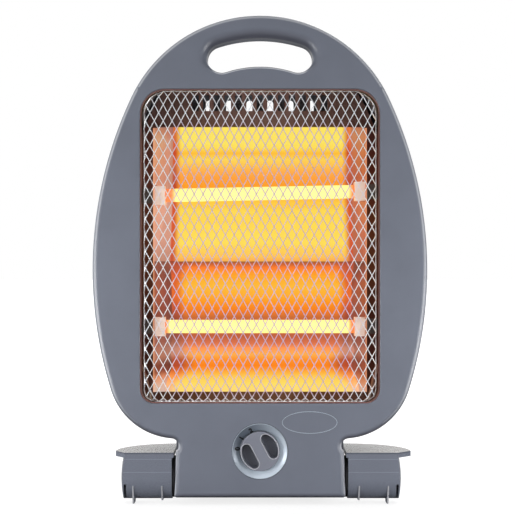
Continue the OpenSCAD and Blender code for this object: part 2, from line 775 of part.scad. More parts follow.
// Everything that turns with the knob, drawn out from the dial's floor with its grip bar along X.
module at_knob() {
    in_body() translate([0, dial_sink, knob_z]) rotate([90, 0, 0]) rotate(grip_angle) children();
}
knob_back = dial_floor + head_h + 0.4;
knob_rim = 1.6;
knob_top = dial_sink + knob_reach;
module knob() {
    r = knob_d / 2;
    color("slategray") at_knob() difference() {
        translate([0, 0, knob_back]) cylinder(r = r, h = knob_top - knob_back, $fn = 96);
        for (s = [-1, 1]) translate([0, 0, knob_top - grip_depth]) intersection() {
            cylinder(r = r - knob_rim, h = grip_depth + 1, $fn = 96);
            translate([-r, s > 0 ? grip_w / 2 : -r - grip_w / 2, 0]) cube([2 * r, r, grip_depth + 1]);
        }
        cylinder(r = shaft_d / 2 + screw_gap, h = knob_top - 3);
    }
}
switch_front = dial_back + 0.5;
shaft_in = switch_front - dial_sink + 8;
module switch_shaft() {
    color("gray") at_knob() translate([0, 0, -shaft_in]) cylinder(r = shaft_d / 2, h = shaft_in + knob_top - 4);
}

switch_w = 34;
switch_h = 24;
switch_len = 22;
module rotary_switch() {
    color("ivory") in_body() difference() {
        union() {
            translate([-switch_w / 2, switch_front, knob_z - switch_h / 2]) cube([switch_w, switch_len, switch_h]);
            rod_y(bush_d / 2, dial_sink - dial_floor, switch_front + 1, 0, knob_z);
            for (x = [-8, 0, 8]) translate([x - 3, switch_front + switch_len, knob_z]) cube([6, 7, 0.8]);
        }
        rod_y(shaft_d / 2 + running_gap, dial_sink - 2, switch_front + 9, 0, knob_z);
        for (s = [-1, 1]) rod_y(screw_bore_r, switch_front - 1, switch_front + 8, s * switch_screw_x, knob_z);
    }
}
module switch_screws() {
    color("silver") in_body() for (s = [-1, 1]) {
        head_back = dial_sink - dial_floor;
        rod_y(screw_d / 2, head_back, switch_front + 7, s * switch_screw_x, knob_z);
        rod_y(screw_head_d / 2, head_back - head_h, head_back, s * switch_screw_x, knob_z);
    }
}

// The tip-over switch stands on the base cover over its plunger.
tip_w = 20;
tip_len = 12;
tip_h = 26;
tip_wall = 2;
plunger_flange_r = plunger_d / 2 + 0.9;
module tip_switch() {
    color("ivory") in_body() translate([plunger_x, plunger_depth, base_t]) difference() {
        translate([-tip_w / 2, -tip_len / 2, 0]) cube([tip_w, tip_len, tip_h]);
        translate([0, 0, -1]) cylinder(r = plunger_d / 2 + 1.4, h = tip_h - tip_wall + 1);
    }
}
plunger_tip_gap = 0.2;
plunger_top = 14;
module tip_plunger() {
    color("white") in_body() translate([plunger_x, plunger_depth, 0]) {
        translate([0, 0, plunger_tip_gap - base_lift]) cylinder(r = plunger_d / 2, h = base_lift + plunger_top);
        translate([0, 0, base_t + plunger_stroke + 1]) cylinder(r = plunger_flange_r, h = 3);
    }
}

// A foot, drawn on the right: barrel, sole plate, stop ribs and the slit beside the domed end.
barrel_x = neck_half + foot_gap;
barrel_end = barrel_x + barrel_len;
dome_r = 80;
outer_rib_x = 98.6;
inner_rib_x = 76.1;
boss_r = pin_d / 2 + 3;
barrel_low = hinge_z - barrel_r;
slit_from_end = 4.6;
slit_depth = 15;
// Gap between the neck and a sole plate
sole_gap = 0.5;
// A washer fills the gap between neck and barrel up to the sole plate.
washer_r = sole_z - sole_t - hinge_z - 0.2;
boss_end = barrel_end - 12;
module barrel_shape(inset = 0) {
    translate([barrel_r, hinge_z]) circle(barrel_r - inset, $fn = 96);
    translate([inset, hinge_z]) square([barrel_r - inset, sole_z - hinge_z - (inset > 0 ? sole_t : 0)]);
}
module rib(x, drop) {
    along_x(x - rib_t / 2, x + rib_t / 2)
        polygon([[1, 9.5], [9, -drop], [22, -drop], [28.5, 3.5], [28.5, 9.5]]);
}
module foot(s) {
    longer = s > 0 ? right_longer : 0;
    end = barrel_end + longer;
    sole_c = [neck_half + s * sole_shift, 12.3];
    sole_in_x = neck_half + sole_gap;
    tip_x = sole_c.x + sole_r;
    in_body() mirror([s < 0 ? 1 : 0, 0, 0]) difference() {
        union() {
            intersection() {
                along_x(barrel_x, end) barrel_shape();
                translate([end - dome_r, barrel_r, hinge_z]) sphere(dome_r);
            }
            translate([0, 0, sole_z - sole_t]) linear_extrude(sole_t) intersection() {
                translate(sole_c) circle(sole_r, $fn = 96);
                polygon([
                    [sole_in_x, 0], [end - 3.5, 0], [tip_x + 1, sole_c.y + 1],
                    [tip_x + 1, sole_c.y + sole_r], [sole_in_x, sole_c.y + sole_r]
                ]);
            }
            rib(outer_rib_x + longer / 2, base_lift);
            rib(inner_rib_x + longer / 2, inner_rib_drop);
        }
        difference() {
            along_x(barrel_x - 1, boss_end + 4) barrel_shape(wall);
            rod_x(boss_r, barrel_x, boss_end + 5, hinge_depth, hinge_z);
        }
        rod_x(pin_d / 2 + running_gap, barrel_x - 1, boss_end + 1.5, hinge_depth, hinge_z);
        translate([end - slit_from_end, -1, barrel_low - 1])
            cube([slit_w, slit_depth, slit_h - barrel_low + 1]);
    }
}
module foot_left() {
    color("slategray") foot(-1);
}
module foot_right() {
    color("slategray") foot(1);
}

// A hinge pin has its head inside the neck and reaches into the foot's boss.
pin_head_h = 2;
module hinge_pin(s) {
    in_body() mirror([s < 0 ? 1 : 0, 0, 0]) {
        rod_x(pin_d / 2, pin_inside - 1, boss_end + 1, hinge_depth, hinge_z);
        rod_x(pin_d / 2 + 2, pin_inside - pin_head_h, pin_inside, hinge_depth, hinge_z);
    }
}
module hinge_pin_left() {
    color("silver") hinge_pin(-1);
}
module hinge_pin_right() {
    color("silver") hinge_pin(1);
}
module hinge_washers() {
    color("silver") in_body() for (s = [-1, 1]) mirror([s < 0 ? 1 : 0, 0, 0]) difference() {
        rod_x(washer_r, neck_half + 0.1, barrel_x - 0.1, hinge_depth, hinge_z);
        rod_x(pin_d / 2 + running_gap, neck_half - cover_inset, barrel_x, hinge_depth, hinge_z);
    }
}

module cord_gland() {
    color("black") in_body() difference() {
        union() {
            rod_y(gland_bore / 2 + wall, body_depth - wall - 4, body_depth, -gland_x, gland_z);
            rod_y(gland_bore / 2 + wall + 2, body_depth - wall - 6, back_depth - wall, -gland_x, gland_z);
            translate([-gland_x, body_depth, gland_z]) rotate([-90, 0, 0])
                cylinder(r1 = gland_bore / 2 + wall, r2 = gland_bore / 2 + 1.2, h = gland_len);
        }
        rod_y(gland_bore / 2, body_depth - wall - 7, body_depth + gland_len + 1, -gland_x, gland_z);
    }
}

// The block's three terminals stand in a row along X, and the first is under the cord gland.
terminal_pitch = 10;
block_l = 3.4 * terminal_pitch;
block_w = 16;
block_h = 12;
block_depth = 46;
function terminal_x(i) = -gland_x - 2 + i * terminal_pitch;
module terminal_block() {
    color("white") in_body() translate([0, block_depth, base_t]) difference() {
        translate([terminal_x(1) - block_l / 2, -block_w / 2, 0]) cube([block_l, block_w, block_h]);
        for (i = [0:2]) translate([terminal_x(i), 0, block_h / 2]) cylinder(r = 2, h = block_h);
    }
}

// Inner wires run from corner to corner, each one a tube of rings square to its way.
wire_r = 1;
wire_sides = 8;
terminal_top = base_t + block_h + 0.5;
tab_depth = switch_front + switch_len + 6;
tab_z = knob_z + 2.7;
lead_low_z = lobe_z + 16;
lead_side_x = opening_w / 2 + 7.5;
flange_hole_depth = tube_depth + 16;
// From the space over the neck, under the heat shield and up beside its left or right flange.
function lead_way(s, depth, z_end) = [
    [s * (lobe_c.x - 4.6), depth, lead_low_z], [s * (lobe_c.x + 13.4), depth, lead_low_z],
    [s * (lobe_c.x + 23.4), depth, shield_low_z + 5], [s * (lobe_c.x + 27), depth, shield_low_z + 22],
    [s * lead_side_x, depth, shield_low_z + 45],
    [s * lead_side_x, depth, z_end - 10], [s * (lead_side_x - 1.5), flange_hole_depth + 2, z_end],
    [s * (opening_w / 2 + 4.4), flange_hole_depth, z_end], [s * 93, flange_hole_depth - 4, z_end],
    [s * 90, tube_depth + 7.2, z_end]
];
lead_routes = [
    [
        [terminal_x(0), block_depth, terminal_top], [-33, 48, 28], [-26, 48, 38], [-12, 46, 42],
        [-8, tab_depth, tab_z]
    ],
    concat([[8, tab_depth, tab_z], [12, 44, 48], [24, 45, lead_low_z - 1]], lead_way(1, 45, ridge_z - tube_drop)),
    concat([[0, tab_depth, tab_z], [2, 46, 50], [14, 52, lead_low_z]], lead_way(1, 53, ridge_z + tube_rise)),
    concat(
        [[terminal_x(2), block_depth, terminal_top], [-20, 50, 34], [-30, 52, 52], [-36, 52, lead_low_z]],
        lead_way(-1, 52, ridge_z + tube_rise)
    )
];
function unit(v) = v / norm(v);
module wire(route) {
    n = len(route);
    last = (n - 1) * wire_sides;
    points = [
        for (i = [0:n - 1])
            let (
                way = unit(route[min(i + 1, n - 1)] - route[max(i - 1, 0)]),
                u = unit(cross(way, [0.3, 1, 0.2])),
                v = cross(way, u)
            )
            for (k = [0:wire_sides - 1])
                let (a = 360 * k / wire_sides) route[i] + wire_r * (cos(a) * u + sin(a) * v)
    ];
    walls = [
        for (i = [0:n - 2], k = [0:wire_sides - 1])
            let (a = i * wire_sides + k, b = i * wire_sides + (k + 1) % wire_sides)
            each [[a, b, b + wire_sides], [a, b + wire_sides, a + wire_sides]]
    ];
    ends = [for (k = [1:wire_sides - 2]) each [[0, k + 1, k], [last, last + k, last + k + 1]]];
    polyhedron(points, concat(walls, ends));
}
module lead_wires() {
    color("tomato") in_body() for (route = lead_routes) wire(route);
}

module shell_screws() {
    color("silver") in_body() at_shell_screws() {
        rod_y(screw_d / 2, wall + 3, rim_depth - head_h, 0, 0);
        rod_y(screw_head_d / 2, rim_depth - head_h, rim_depth - head_h + 1.6, 0, 0);
    }
}
shield_screw_x = 80;
shield_screw_rise = 68;
shield_screw_drop = 60;
module at_shield_screws() {
    for (s = [-1, 1], z = [ridge_z + shield_screw_rise, ridge_z - shield_screw_drop])
        translate([s * shield_screw_x, 0, z]) children();
}
module shield_screws() {
    color("silver") in_body() at_shield_screws() {
        rod_y(screw_head_d / 2, shield_depth - head_h, shield_depth, 0, 0);
        rod_y(screw_d / 2, shield_depth, body_depth - wall - 1, 0, 0);
    }
}
module base_screws() {
    color("silver") in_body() for (p = base_post_places, s = [-1, 1]) translate([s * p.x, p.y, 0]) {
        cylinder(r = screw_d / 2, h = base_post_h - 3);
        translate([0, 0, -head_h]) cylinder(r = screw_head_d / 2, h = head_h);
    }
}

front_panel();
rear_cover();
base_cover();
grille_mesh();
grille_frame();
heat_shield();
reflector_upper();
reflector_lower();
reflector_end_left();
reflector_end_right();
quartz_tube_upper();
quartz_tube_lower();
heating_coil_upper();
heating_coil_lower();
end_caps_upper();
end_caps_lower();
tube_clips();
dial_ring();
knob();
switch_shaft();
rotary_switch();
tip_switch();
tip_plunger();
foot_left();
foot_right();
hinge_pin_left();
hinge_pin_right();
hinge_washers();
base_pads();
cord_gland();
terminal_block();
lead_wires();
shell_screws();
shield_screws();
switch_screws();
base_screws();
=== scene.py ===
"""Two-bar quartz heater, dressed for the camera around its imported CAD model.

Everything is drawn in the heater's own millimetres: x to the right, depth back from the front
panel's face, and z up from the panel's base line. place() turns them into the frame's metres.
"""
import math
from functools import partial

import bmesh
import bpy
from mathutils import Matrix, Vector


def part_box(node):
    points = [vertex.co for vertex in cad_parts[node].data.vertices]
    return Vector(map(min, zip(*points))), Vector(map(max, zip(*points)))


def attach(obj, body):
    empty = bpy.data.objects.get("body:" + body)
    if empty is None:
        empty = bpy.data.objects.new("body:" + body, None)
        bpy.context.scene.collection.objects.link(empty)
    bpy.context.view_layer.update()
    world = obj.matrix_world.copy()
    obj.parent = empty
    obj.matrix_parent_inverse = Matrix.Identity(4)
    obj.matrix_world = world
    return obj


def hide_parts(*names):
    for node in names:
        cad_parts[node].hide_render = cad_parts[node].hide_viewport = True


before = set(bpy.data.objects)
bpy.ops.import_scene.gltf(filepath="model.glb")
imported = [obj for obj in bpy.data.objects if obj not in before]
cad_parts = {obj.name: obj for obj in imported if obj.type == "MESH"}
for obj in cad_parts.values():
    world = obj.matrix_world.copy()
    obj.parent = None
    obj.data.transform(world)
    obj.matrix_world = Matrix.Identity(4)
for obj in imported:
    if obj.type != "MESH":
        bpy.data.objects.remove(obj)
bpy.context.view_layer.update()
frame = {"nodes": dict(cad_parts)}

bl_info = {
    "name": "Quartz heater",
    "version": (1, 0, 0),
    "blender": (4, 5, 0),
    "location": "3D View > Sidebar > Heater",
    "description": "Builds a two-bar quartz heater around its CAD frame",
    "category": "Object",
}

MM = 0.001
# The finishes by short name; make_materials fills it.
MATERIALS = {}
FACE_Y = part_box("front_panel")[0].y
BASE_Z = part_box("front_panel")[0].z


# ---- Sizes and colours that a user may change ----

def length(name, millimetres, note):
    return bpy.props.FloatProperty(
        name=name, description=note, default=millimetres * MM, min=0, unit="LENGTH", precision=5
    )


def linear(hex_colour):
    """An sRGB hex colour as linear red, green and blue."""
    values = [int(hex_colour[i:i + 2], 16) / 255 for i in (1, 3, 5)]
    return [v / 12.92 if v <= 0.04045 else ((v + 0.055) / 1.055) ** 2.4 for v in values]


def rgba(hex_colour):
    """A hex colour for a shader's socket or a colour ramp."""
    return (*linear(hex_colour), 1)


def colour(name, hex_colour, note):
    return bpy.props.FloatVectorProperty(
        name=name, description=note, default=linear(hex_colour), min=0, max=1, size=3, subtype="COLOR"
    )


class HeaterSizes(bpy.types.PropertyGroup):
    body_w: length("Body width", 260, "Width of the panel at its widest")
    body_h: length("Body height", 374.5, "Height of the panel above its base line")
    widest_z: length("Widest height", 177, "Height of the widest point above the base line")
    side_r: length("Side radius", 314, "Radius of the long side curves")
    lobe_r: length("Lobe radius", 53.6, "Radius of the two lower lobes")
    lobe_z: length("Lobe height", 45.8, "Height of the undersides of the lobes")
    neck_w: length("Neck width", 133, "Width of the neck between the feet")
    notch_r: length("Notch radius", 5.9, "Radius of the notch between lobe and neck")
    notch_out: length("Notch offset", 2.7, "How far the notch's centre lies outside the neck")
    panel_depth: length("Panel depth", 12, "Depth of the front panel")
    edge_r: length("Panel edge", 4, "Rounding of the panel's front edge")
    wall: length("Wall", 2.5, "Wall of the moulded shells")
    body_depth: length("Body depth", 80, "Depth of the body behind the front face")
    rim_depth: length("Rim depth", 28, "Depth of the body round the carrying slot")
    rim_edge_r: length("Rim edge", 5, "Rounding of the rim's rear edge")
    shoulder_r: length("Shoulder", 12, "Rounding of the deep part's rear edge")
    hump_top_z: length("Deep part's top", 326, "Height of the top of the deep part")
    hump_inset: length("Deep part's step", 7, "Step in from the panel's outline to the deep part")
    slot_w: length("Slot width", 82, "Width of the carrying slot")
    slot_h: length("Slot height", 22.8, "Height of the carrying slot")
    slot_z: length("Slot place", 345.9, "Height of the middle of the carrying slot")
    slot_bend_r: length("Slot bend", 95, "Radius that the carrying slot is bent along")
    slot_roll: length("Slot roll", 8, "Width of the rounding over the carrying slot")
    opening_w: length("Opening width", 186, "Width of the opening in the panel")
    opening_h: length("Opening height", 243.6, "Height of the opening")
    opening_z: length("Opening place", 73.4, "Height of the opening's lower edge")
    opening_top_r: length("Upper corners", 19.5, "Radius of the opening's upper corners")
    opening_low_r: length("Lower corners", 11, "Radius of the opening's lower corners")
    strand_w: length("Strand width", 0.62, "Width of a strand of the grille")
    strand_t: length("Strand thickness", 0.6, "Thickness of the grille's sheet")
    mesh_pitch: length("Mesh width", 6.9, "Width of one diamond of the grille")
    mesh_rise: length("Mesh height", 12.65, "Height of one diamond of the grille")
    mesh_fold: length("Mesh fold", 5, "How far the grille's edges fold back")
    knob_z: length("Knob place", 36.3, "Height of the knob's centre")
    knob_d: length("Knob diameter", 30.8, "Diameter of the knob")
    knob_reach: length("Knob reach", 1, "How far the knob stands out of the face")
    grip_w: length("Grip width", 9.6, "Width of the knob's grip bar")
    grip_depth: length("Grip depth", 8, "Depth of the hollows beside the grip bar")
    dial_d: length("Dial diameter", 42.9, "Diameter of the dial ring")
    dial_dip: length("Dial dip", 3, "How deep the dial ring dips in towards the knob")
    dial_sink: length("Dial floor", 11.6, "Depth of the dial's floor behind the face")
    badge_w: length("Badge width", 43, "Width of the empty oval badge")
    badge_h: length("Badge height", 17.4, "Height of the empty oval badge")
    tube_d: length("Tube diameter", 10.5, "Outer diameter of a quartz tube")
    coil_d: length("Coil diameter", 6.4, "Diameter of the heating coil")


class HeaterColours(bpy.types.PropertyGroup):
    panel: colour("Panel", "#717683", "Grey of the front panel")
    cover: colour("Rear cover", "#666A73", "Grey of the rear cover")
    knob: colour("Knob", "#80838F", "Grey of the knob")
    dial: colour("Dial", "#B4BEC9", "Silver of the dial ring")
    strand: colour("Grille", "#F4F8FF", "Silver of the grille")
    frame: colour("Grille frame", "#7E5A56", "Brown of the frame round the grille")
    shield: colour("Heat shield", "#7A5F5A", "Brown of the heat shield")
    ceramic: colour("Ceramic", "#F4E6DE", "Off-white of the end caps")
    tube_glow: colour("Tube glow", "#FFFA96", "Glow of the quartz tubes")
    tube_end_glow: colour("Tube end glow", "#F4782E", "Glow at the ends of the tubes")


def mm(name):
    """A size of the heater in millimetres."""
    return getattr(bpy.context.scene.heater_sizes, name) / MM


def tint(name):
    """A colour of the heater, for a shader's socket."""
    return (*getattr(bpy.context.scene.heater_colours, name), 1)


# ---- Outlines ----

def place(x, depth, z):
    """A point of the frame, in metres."""
    return Vector((x * MM, FACE_Y + depth * MM, BASE_Z + z * MM))


def arc(centre, radius, start, end, steps):
    """Points of an arc from start to end in degrees, without the last one."""
    angles = [math.radians(start + (end - start) * i / steps) for i in range(steps)]
    return [(centre[0] + radius * math.cos(a), centre[1] + radius * math.sin(a)) for a in angles]


def body_outline(inset, top=None, corner=0):
    """The body's outline drawn in by inset, as (x, z) points clockwise from the top middle.

    With top it is cut level at that height, and corner rounds the two ends of the cut.
    """
    half_w, side_r, lobe_r, notch_r = mm("body_w") / 2, mm("side_r"), mm("lobe_r"), mm("notch_r")
    neck_half, notch_out = mm("neck_w") / 2, mm("notch_out")
    side_c = (half_w - side_r, mm("widest_z"))
    rise = mm("body_h") - side_c[1]
    top_r = (side_r ** 2 - (side_r - half_w) ** 2 - rise ** 2) / (2 * (side_r - rise))
    top_c = (0, mm("body_h") - top_r)
    lobe_cz = mm("lobe_z") + lobe_r
    lobe_c = (side_c[0] + math.sqrt((side_r - lobe_r) ** 2 - (lobe_cz - side_c[1]) ** 2), lobe_cz)
    notch_x = neck_half + notch_out
    notch_c = (notch_x, lobe_cz - math.sqrt((lobe_r + notch_r) ** 2 - (notch_x - lobe_c[0]) ** 2))

    def way(a, b):
        return math.degrees(math.atan2(b[1] - a[1], b[0] - a[0]))

    to_side, to_lobe, to_notch = way(side_c, top_c), way(side_c, lobe_c), way(lobe_c, notch_c)
    notch_end = 360 - math.degrees(math.acos(-(notch_out + inset) / (notch_r + inset)))
    corner_r = 2
    corner_c = (neck_half - inset - corner_r, inset + corner_r)
    # The last number of each arc is its count of steps.
    points = []
    start = 90
    if top is not None:
        reach = top_r - inset - corner
        lift = top - corner - top_c[1]
        turn_c = (math.sqrt(reach ** 2 - lift ** 2), top - corner)
        start = way(top_c, turn_c)
        points = [(0, top)] + arc(turn_c, corner, 90, start, 8)
    points += arc(top_c, top_r - inset, start, to_side, 32)
    points += arc(side_c, side_r - inset, to_side, to_lobe, 40)
    points += arc(lobe_c, lobe_r - inset, to_lobe, to_notch, 32)
    points += arc(notch_c, notch_r + inset, to_notch + 180, notch_end, 12)
    points += arc(corner_c, corner_r, 0, -90, 5)
    points += [(corner_c[0], inset), (0, inset)]
    return points + [(-x, z) for x, z in reversed(points[1:-1])]


def opening_outline(grow):
    """The opening's outline grown by a margin."""
    steps = 10
    w = mm("opening_w") / 2 + grow
    low, high = mm("opening_z") - grow, mm("opening_z") + mm("opening_h") + grow
    top_r, low_r = mm("opening_top_r") + grow, mm("opening_low_r") + grow
    points = arc((w - top_r, high - top_r), top_r, 90, 0, steps)
    points += [(w, high - top_r)] + arc((w - low_r, low + low_r), low_r, 0, -90, steps)
    points += [(w - low_r, low)]
    return points + [(-x, z) for x, z in reversed(points)]


def slot_outline(grow):
    """The carrying slot's outline; grow(nx, nz) gives the margin for a point's outward normal."""
    bend_r, end_r = mm("slot_bend_r"), mm("slot_h") / 2
    centre = (0, mm("slot_z") - bend_r)
    half_turn = math.degrees(math.asin((mm("slot_w") / 2 - end_r) / bend_r))

    def end_centre(side):
        turn = math.radians(half_turn) * side
        return centre[0] + bend_r * math.sin(turn), centre[1] + bend_r * math.cos(turn)

    # Each run's centre, radius, first and last angle, which way is out, and count of steps.
    runs = [
        (centre, bend_r + end_r, 90 + half_turn, 90 - half_turn, 1, 24),
        (end_centre(1), end_r, 90 - half_turn, -90 - half_turn, 1, 20),
        (centre, bend_r - end_r, 90 - half_turn, 90 + half_turn, -1, 24),
        (end_centre(-1), end_r, 270 + half_turn, 90 + half_turn, 1, 20),
    ]
    points = []
    for c, r, start, end, way, steps in runs:
        for x, z in arc(c, r, start, end, steps):
            nx, nz = way * (x - c[0]) / r, way * (z - c[1]) / r
            margin = grow(nx, nz)
            points.append((x + nx * margin, z + nz * margin))
    return points


def smooth_step(low, high, value):
    """Rises softly from nought at low to one at high."""
    t = min(max((value - low) / (high - low), 0), 1)
    return t * t * (3 - 2 * t)


# ---- Meshes ----

# Whole circles are drawn in this many steps.
ROUND_STEPS = 96


class Shell:
    """Loops of points in heater millimetres, joined into one closed mesh."""

    def __init__(self):
        self.bm = bmesh.new()

    def loop(self, outline, depth):
        """Adds an outline's loop; depth is a number, or one number for each point."""
        depths = depth if isinstance(depth, list) else [depth] * len(outline)
        return [self.bm.verts.new(place(x, d, z)) for (x, z), d in zip(outline, depths)]

    def points(self, points):
        """Adds a loop that lies anywhere."""
        return [self.bm.verts.new(place(*p)) for p in points]

    def strip(self, *loops):
        """Joins each loop to the next one with faces."""
        for a, b in zip(loops, loops[1:]):
            for i in range(len(a)):
                j = (i + 1) % len(a)
                self.bm.faces.new((a[i], a[j], b[j], b[i]))

    def fill(self, *loops):
        """Fills the flat face that lies inside the first loop and outside the others."""
        edges = []
        for loop in loops:
            for a, b in zip(loop, loop[1:] + loop[:1]):
                edges.append(self.bm.edges.get((a, b)) or self.bm.edges.new((a, b)))
        bmesh.ops.triangle_fill(self.bm, use_beauty=True, edges=edges)

    def prism(self, *loops):
        """Joins the loops and closes both ends."""
        self.strip(*loops)
        self.bm.faces.new(loops[0])
        self.bm.faces.new(loops[-1])

    def piece(self, name):
        """Turns the shell into an object."""
        bmesh.ops.remove_doubles(self.bm, verts=self.bm.verts, dist=0.001 * MM)
        bmesh.ops.recalc_face_normals(self.bm, faces=self.bm.faces)
        return from_bmesh(name, self.bm)


def add_object(name, data):
    """Puts a mesh, a curve, a light or a camera in the scene."""
    piece = bpy.data.objects.new(name, data)
    bpy.context.scene.collection.objects.link(piece)
    return piece


def from_bmesh(name, bm):
    """Turns a bmesh into an object."""
    mesh = bpy.data.meshes.new(name)
    bm.to_mesh(mesh)
    bm.free()
    return add_object(name, mesh)


def bake(piece):
    """Turns the piece's modifiers into a plain mesh."""
    depsgraph = bpy.context.evaluated_depsgraph_get()
    mesh = bpy.data.meshes.new_from_object(piece.evaluated_get(depsgraph), depsgraph=depsgraph)
    piece.modifiers.clear()
    piece.data = mesh
    return piece


def finish(piece, material, body, replaces=(), crease=35, weigh=True):
    """Gives a piece its shading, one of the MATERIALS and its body."""
    mesh = piece.data
    mesh.materials.clear()
    mesh.materials.append(MATERIALS[material])
    for polygon in mesh.polygons:
        polygon.use_smooth = True
        polygon.material_index = 0
    mesh.set_sharp_from_angle(angle=math.radians(crease))
    if weigh:
        weights = piece.modifiers.new("Weighted normals", "WEIGHTED_NORMAL")
        weights.keep_sharp = True
        weights.weight = 80
    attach(piece, body)
    if replaces:
        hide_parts(*replaces)


def carve(piece, cutter, operation="DIFFERENCE"):
    """Cuts one closed mesh out of another, or joins it on."""
    cut = piece.modifiers.new("Carve", "BOOLEAN")
    cut.operation = operation
    cut.solver = "EXACT"
    cut.object = cutter
    bpy.context.view_layer.update()
    bake(piece)
    bpy.data.objects.remove(cutter)


def softened(node, name, width):
    """A copy of a CAD node with its sharp edges rounded over, to a width in millimetres."""
    source = frame["nodes"][node]
    bm = bmesh.new()
    bm.from_mesh(source.data)
    bmesh.ops.remove_doubles(bm, verts=bm.verts, dist=0.002 * MM)
    bmesh.ops.dissolve_limit(bm, angle_limit=math.radians(0.5), verts=bm.verts, edges=bm.edges)
    piece = from_bmesh(name, bm)
    bevel = piece.modifiers.new("Soft edges", "BEVEL")
    bevel.width = width * MM
    bevel.segments = 3
    bevel.limit_method = "ANGLE"
    bevel.angle_limit = math.radians(30)
    bevel.use_clamp_overlap = True
    bpy.context.view_layer.update()
    return bake(piece)


def lathe(name, profile, origin, steps=ROUND_STEPS, axis="Y"):
    """Turns a profile of (radius, height) points about an axis through origin, in millimetres."""
    bm = bmesh.new()
    rings = []
    for radius, height in profile:
        ring = []
        for i in range(steps):
            a = 2 * math.pi * i / steps
            u, v = radius * math.cos(a), radius * math.sin(a)
            offset = {"Y": (u, -height, v), "X": (height, u, v)}[axis]
            ring.append(bm.verts.new(place(*(o + d for o, d in zip(origin, offset)))))
        rings.append(ring)
    for a, b in zip(rings, rings[1:]):
        for i in range(steps):
            j = (i + 1) % steps
            bm.faces.new((a[i], a[j], b[j], b[i]))
    if profile[0] != profile[-1]:
        for ring, (radius, _) in ((rings[0], profile[0]), (rings[-1], profile[-1])):
            if radius > 0.01:
                bm.faces.new(ring)
    bmesh.ops.remove_doubles(bm, verts=bm.verts, dist=0.02 * MM)
    bmesh.ops.recalc_face_normals(bm, faces=bm.faces)
    return from_bmesh(name, bm)


# ---- Nodes ----

def plug(node, inputs):
    """Gives each of a node's input sockets a value or another node's output."""
    for socket, source in inputs.items():
        if isinstance(source, bpy.types.NodeSocket):
            node.id_data.links.new(source, node.inputs[socket])
        else:
            node.inputs[socket].default_value = source


def add_node(tree, kind, *inputs, **settings):
    """Adds a node with its settings and links, and returns its outputs.

    The inputs are values or other nodes' outputs, in the order of the node's sockets, or in one
    dict by the sockets' names or numbers. The kind leaves out "ShaderNode".
    """
    node = tree.nodes.new(kind if "Node" in kind else "ShaderNode" + kind)
    for key, value in settings.items():
        setattr(node, key, value)
    named = inputs and isinstance(inputs[0], dict)
    plug(node, inputs[0] if named else dict(enumerate(inputs)))
    return node.outputs


def new_tree(name, inputs):
    """A Geometry Nodes tree with a geometry input and output, and named inputs of the given kinds."""
    tree = bpy.data.node_groups.new(name, "GeometryNodeTree")
    tree.interface.new_socket("Geometry", in_out="INPUT", socket_type="NodeSocketGeometry")
    for label, kind in inputs.items():
        tree.interface.new_socket(label, in_out="INPUT", socket_type="NodeSocket" + kind)
    tree.interface.new_socket("Geometry", in_out="OUTPUT", socket_type="NodeSocketGeometry")
    return tree, add_node(tree, "NodeGroupInput")


def grow_nodes(piece, tree, values):
    """Puts the tree on the piece, sets its inputs by their sockets' identifiers, and bakes it."""
    modifier = piece.modifiers.new(tree.name, "NODES")
    modifier.node_group = tree
    for item in tree.interface.items_tree:
        if item.in_out == "INPUT" and item.name in values:
            modifier[item.identifier] = values[item.name]
    piece.data.update()
    bpy.context.view_layer.update()
    return bake(piece)


def end_tree(tree, geometry, material):
    """Ends a tree in real geometry with its finish."""
    whole = add_node(tree, "GeometryNodeRealizeInstances", geometry)[0]
    dressed = add_node(tree, "GeometryNodeSetMaterial", {"Geometry": whole, "Material": material})[0]
    add_node(tree, "NodeGroupOutput", dressed)


def repeated(name, cast, points, material):
    """Copies of one object at a list of places, made by Geometry Nodes."""
    tree, given = new_tree(name + " nodes", {"Copied piece": "Object", "Finish": "Material"})
    info = add_node(tree, "GeometryNodeObjectInfo", {"Object": given["Copied piece"]})
    copies = add_node(tree, "GeometryNodeInstanceOnPoints", {
        "Points": given["Geometry"], "Instance": info["Geometry"]
    })[0]
    end_tree(tree, copies, given["Finish"])
    mesh = bpy.data.meshes.new(name)
    mesh.from_pydata([place(*p) for p in points], [], [])
    piece = grow_nodes(add_object(name, mesh), tree, {"Copied piece": cast, "Finish": material})
    bpy.data.objects.remove(cast)
    return piece


# ---- Materials ----

# Nearly all of a noise lies in this range.
NOISE_RANGE = (0.3, 0.7)


def new_material(name):
    """A material with its tree, its shader, and the place on the object."""
    material = bpy.data.materials.new(name)
    material.use_nodes = True
    tree = material.node_tree
    return material, tree, tree.nodes["Principled BSDF"], add_node(tree, "TexCoord")["Object"]


def patches(tree, where, size_mm, low, high, detail=3):
    """Soft patches about size_mm across: the bare noise, and the noise spread from low to high."""
    noise = add_node(tree, "TexNoise", {
        "Vector": where, "Scale": 1 / (size_mm * MM), "Detail": detail, "Roughness": 0.55
    })["Fac"]
    return noise, add_node(tree, "MapRange", noise, *NOISE_RANGE, low, high)[0]


def shade(base, factor):
    """A colour made darker or lighter by a factor."""
    return (*(min(c * factor, 1) for c in base[:3]), 1)


def dimmed(tree, tone, *factors):
    """A tone whose red, green and blue are each taken down by a factor."""
    return add_node(
        tree, "Mix", {0: 1.0, 6: tone, 7: (*factors, 1)}, data_type="RGBA", blend_type="MULTIPLY"
    )[2]


def painted_hollow_shade(tree, where, tone, start, end, factor):
    """Painted shade: darkens a tone between two depths behind the face, where a hollow gets little light."""
    y = add_node(tree, "SeparateXYZ", where)["Y"]
    share = add_node(tree, "MapRange", y, FACE_Y + start * MM, FACE_Y + end * MM)[0]
    dark = dimmed(tree, tone, factor, factor, factor)
    return add_node(tree, "Mix", {0: share, 6: tone, 7: dark}, data_type="RGBA")[2]


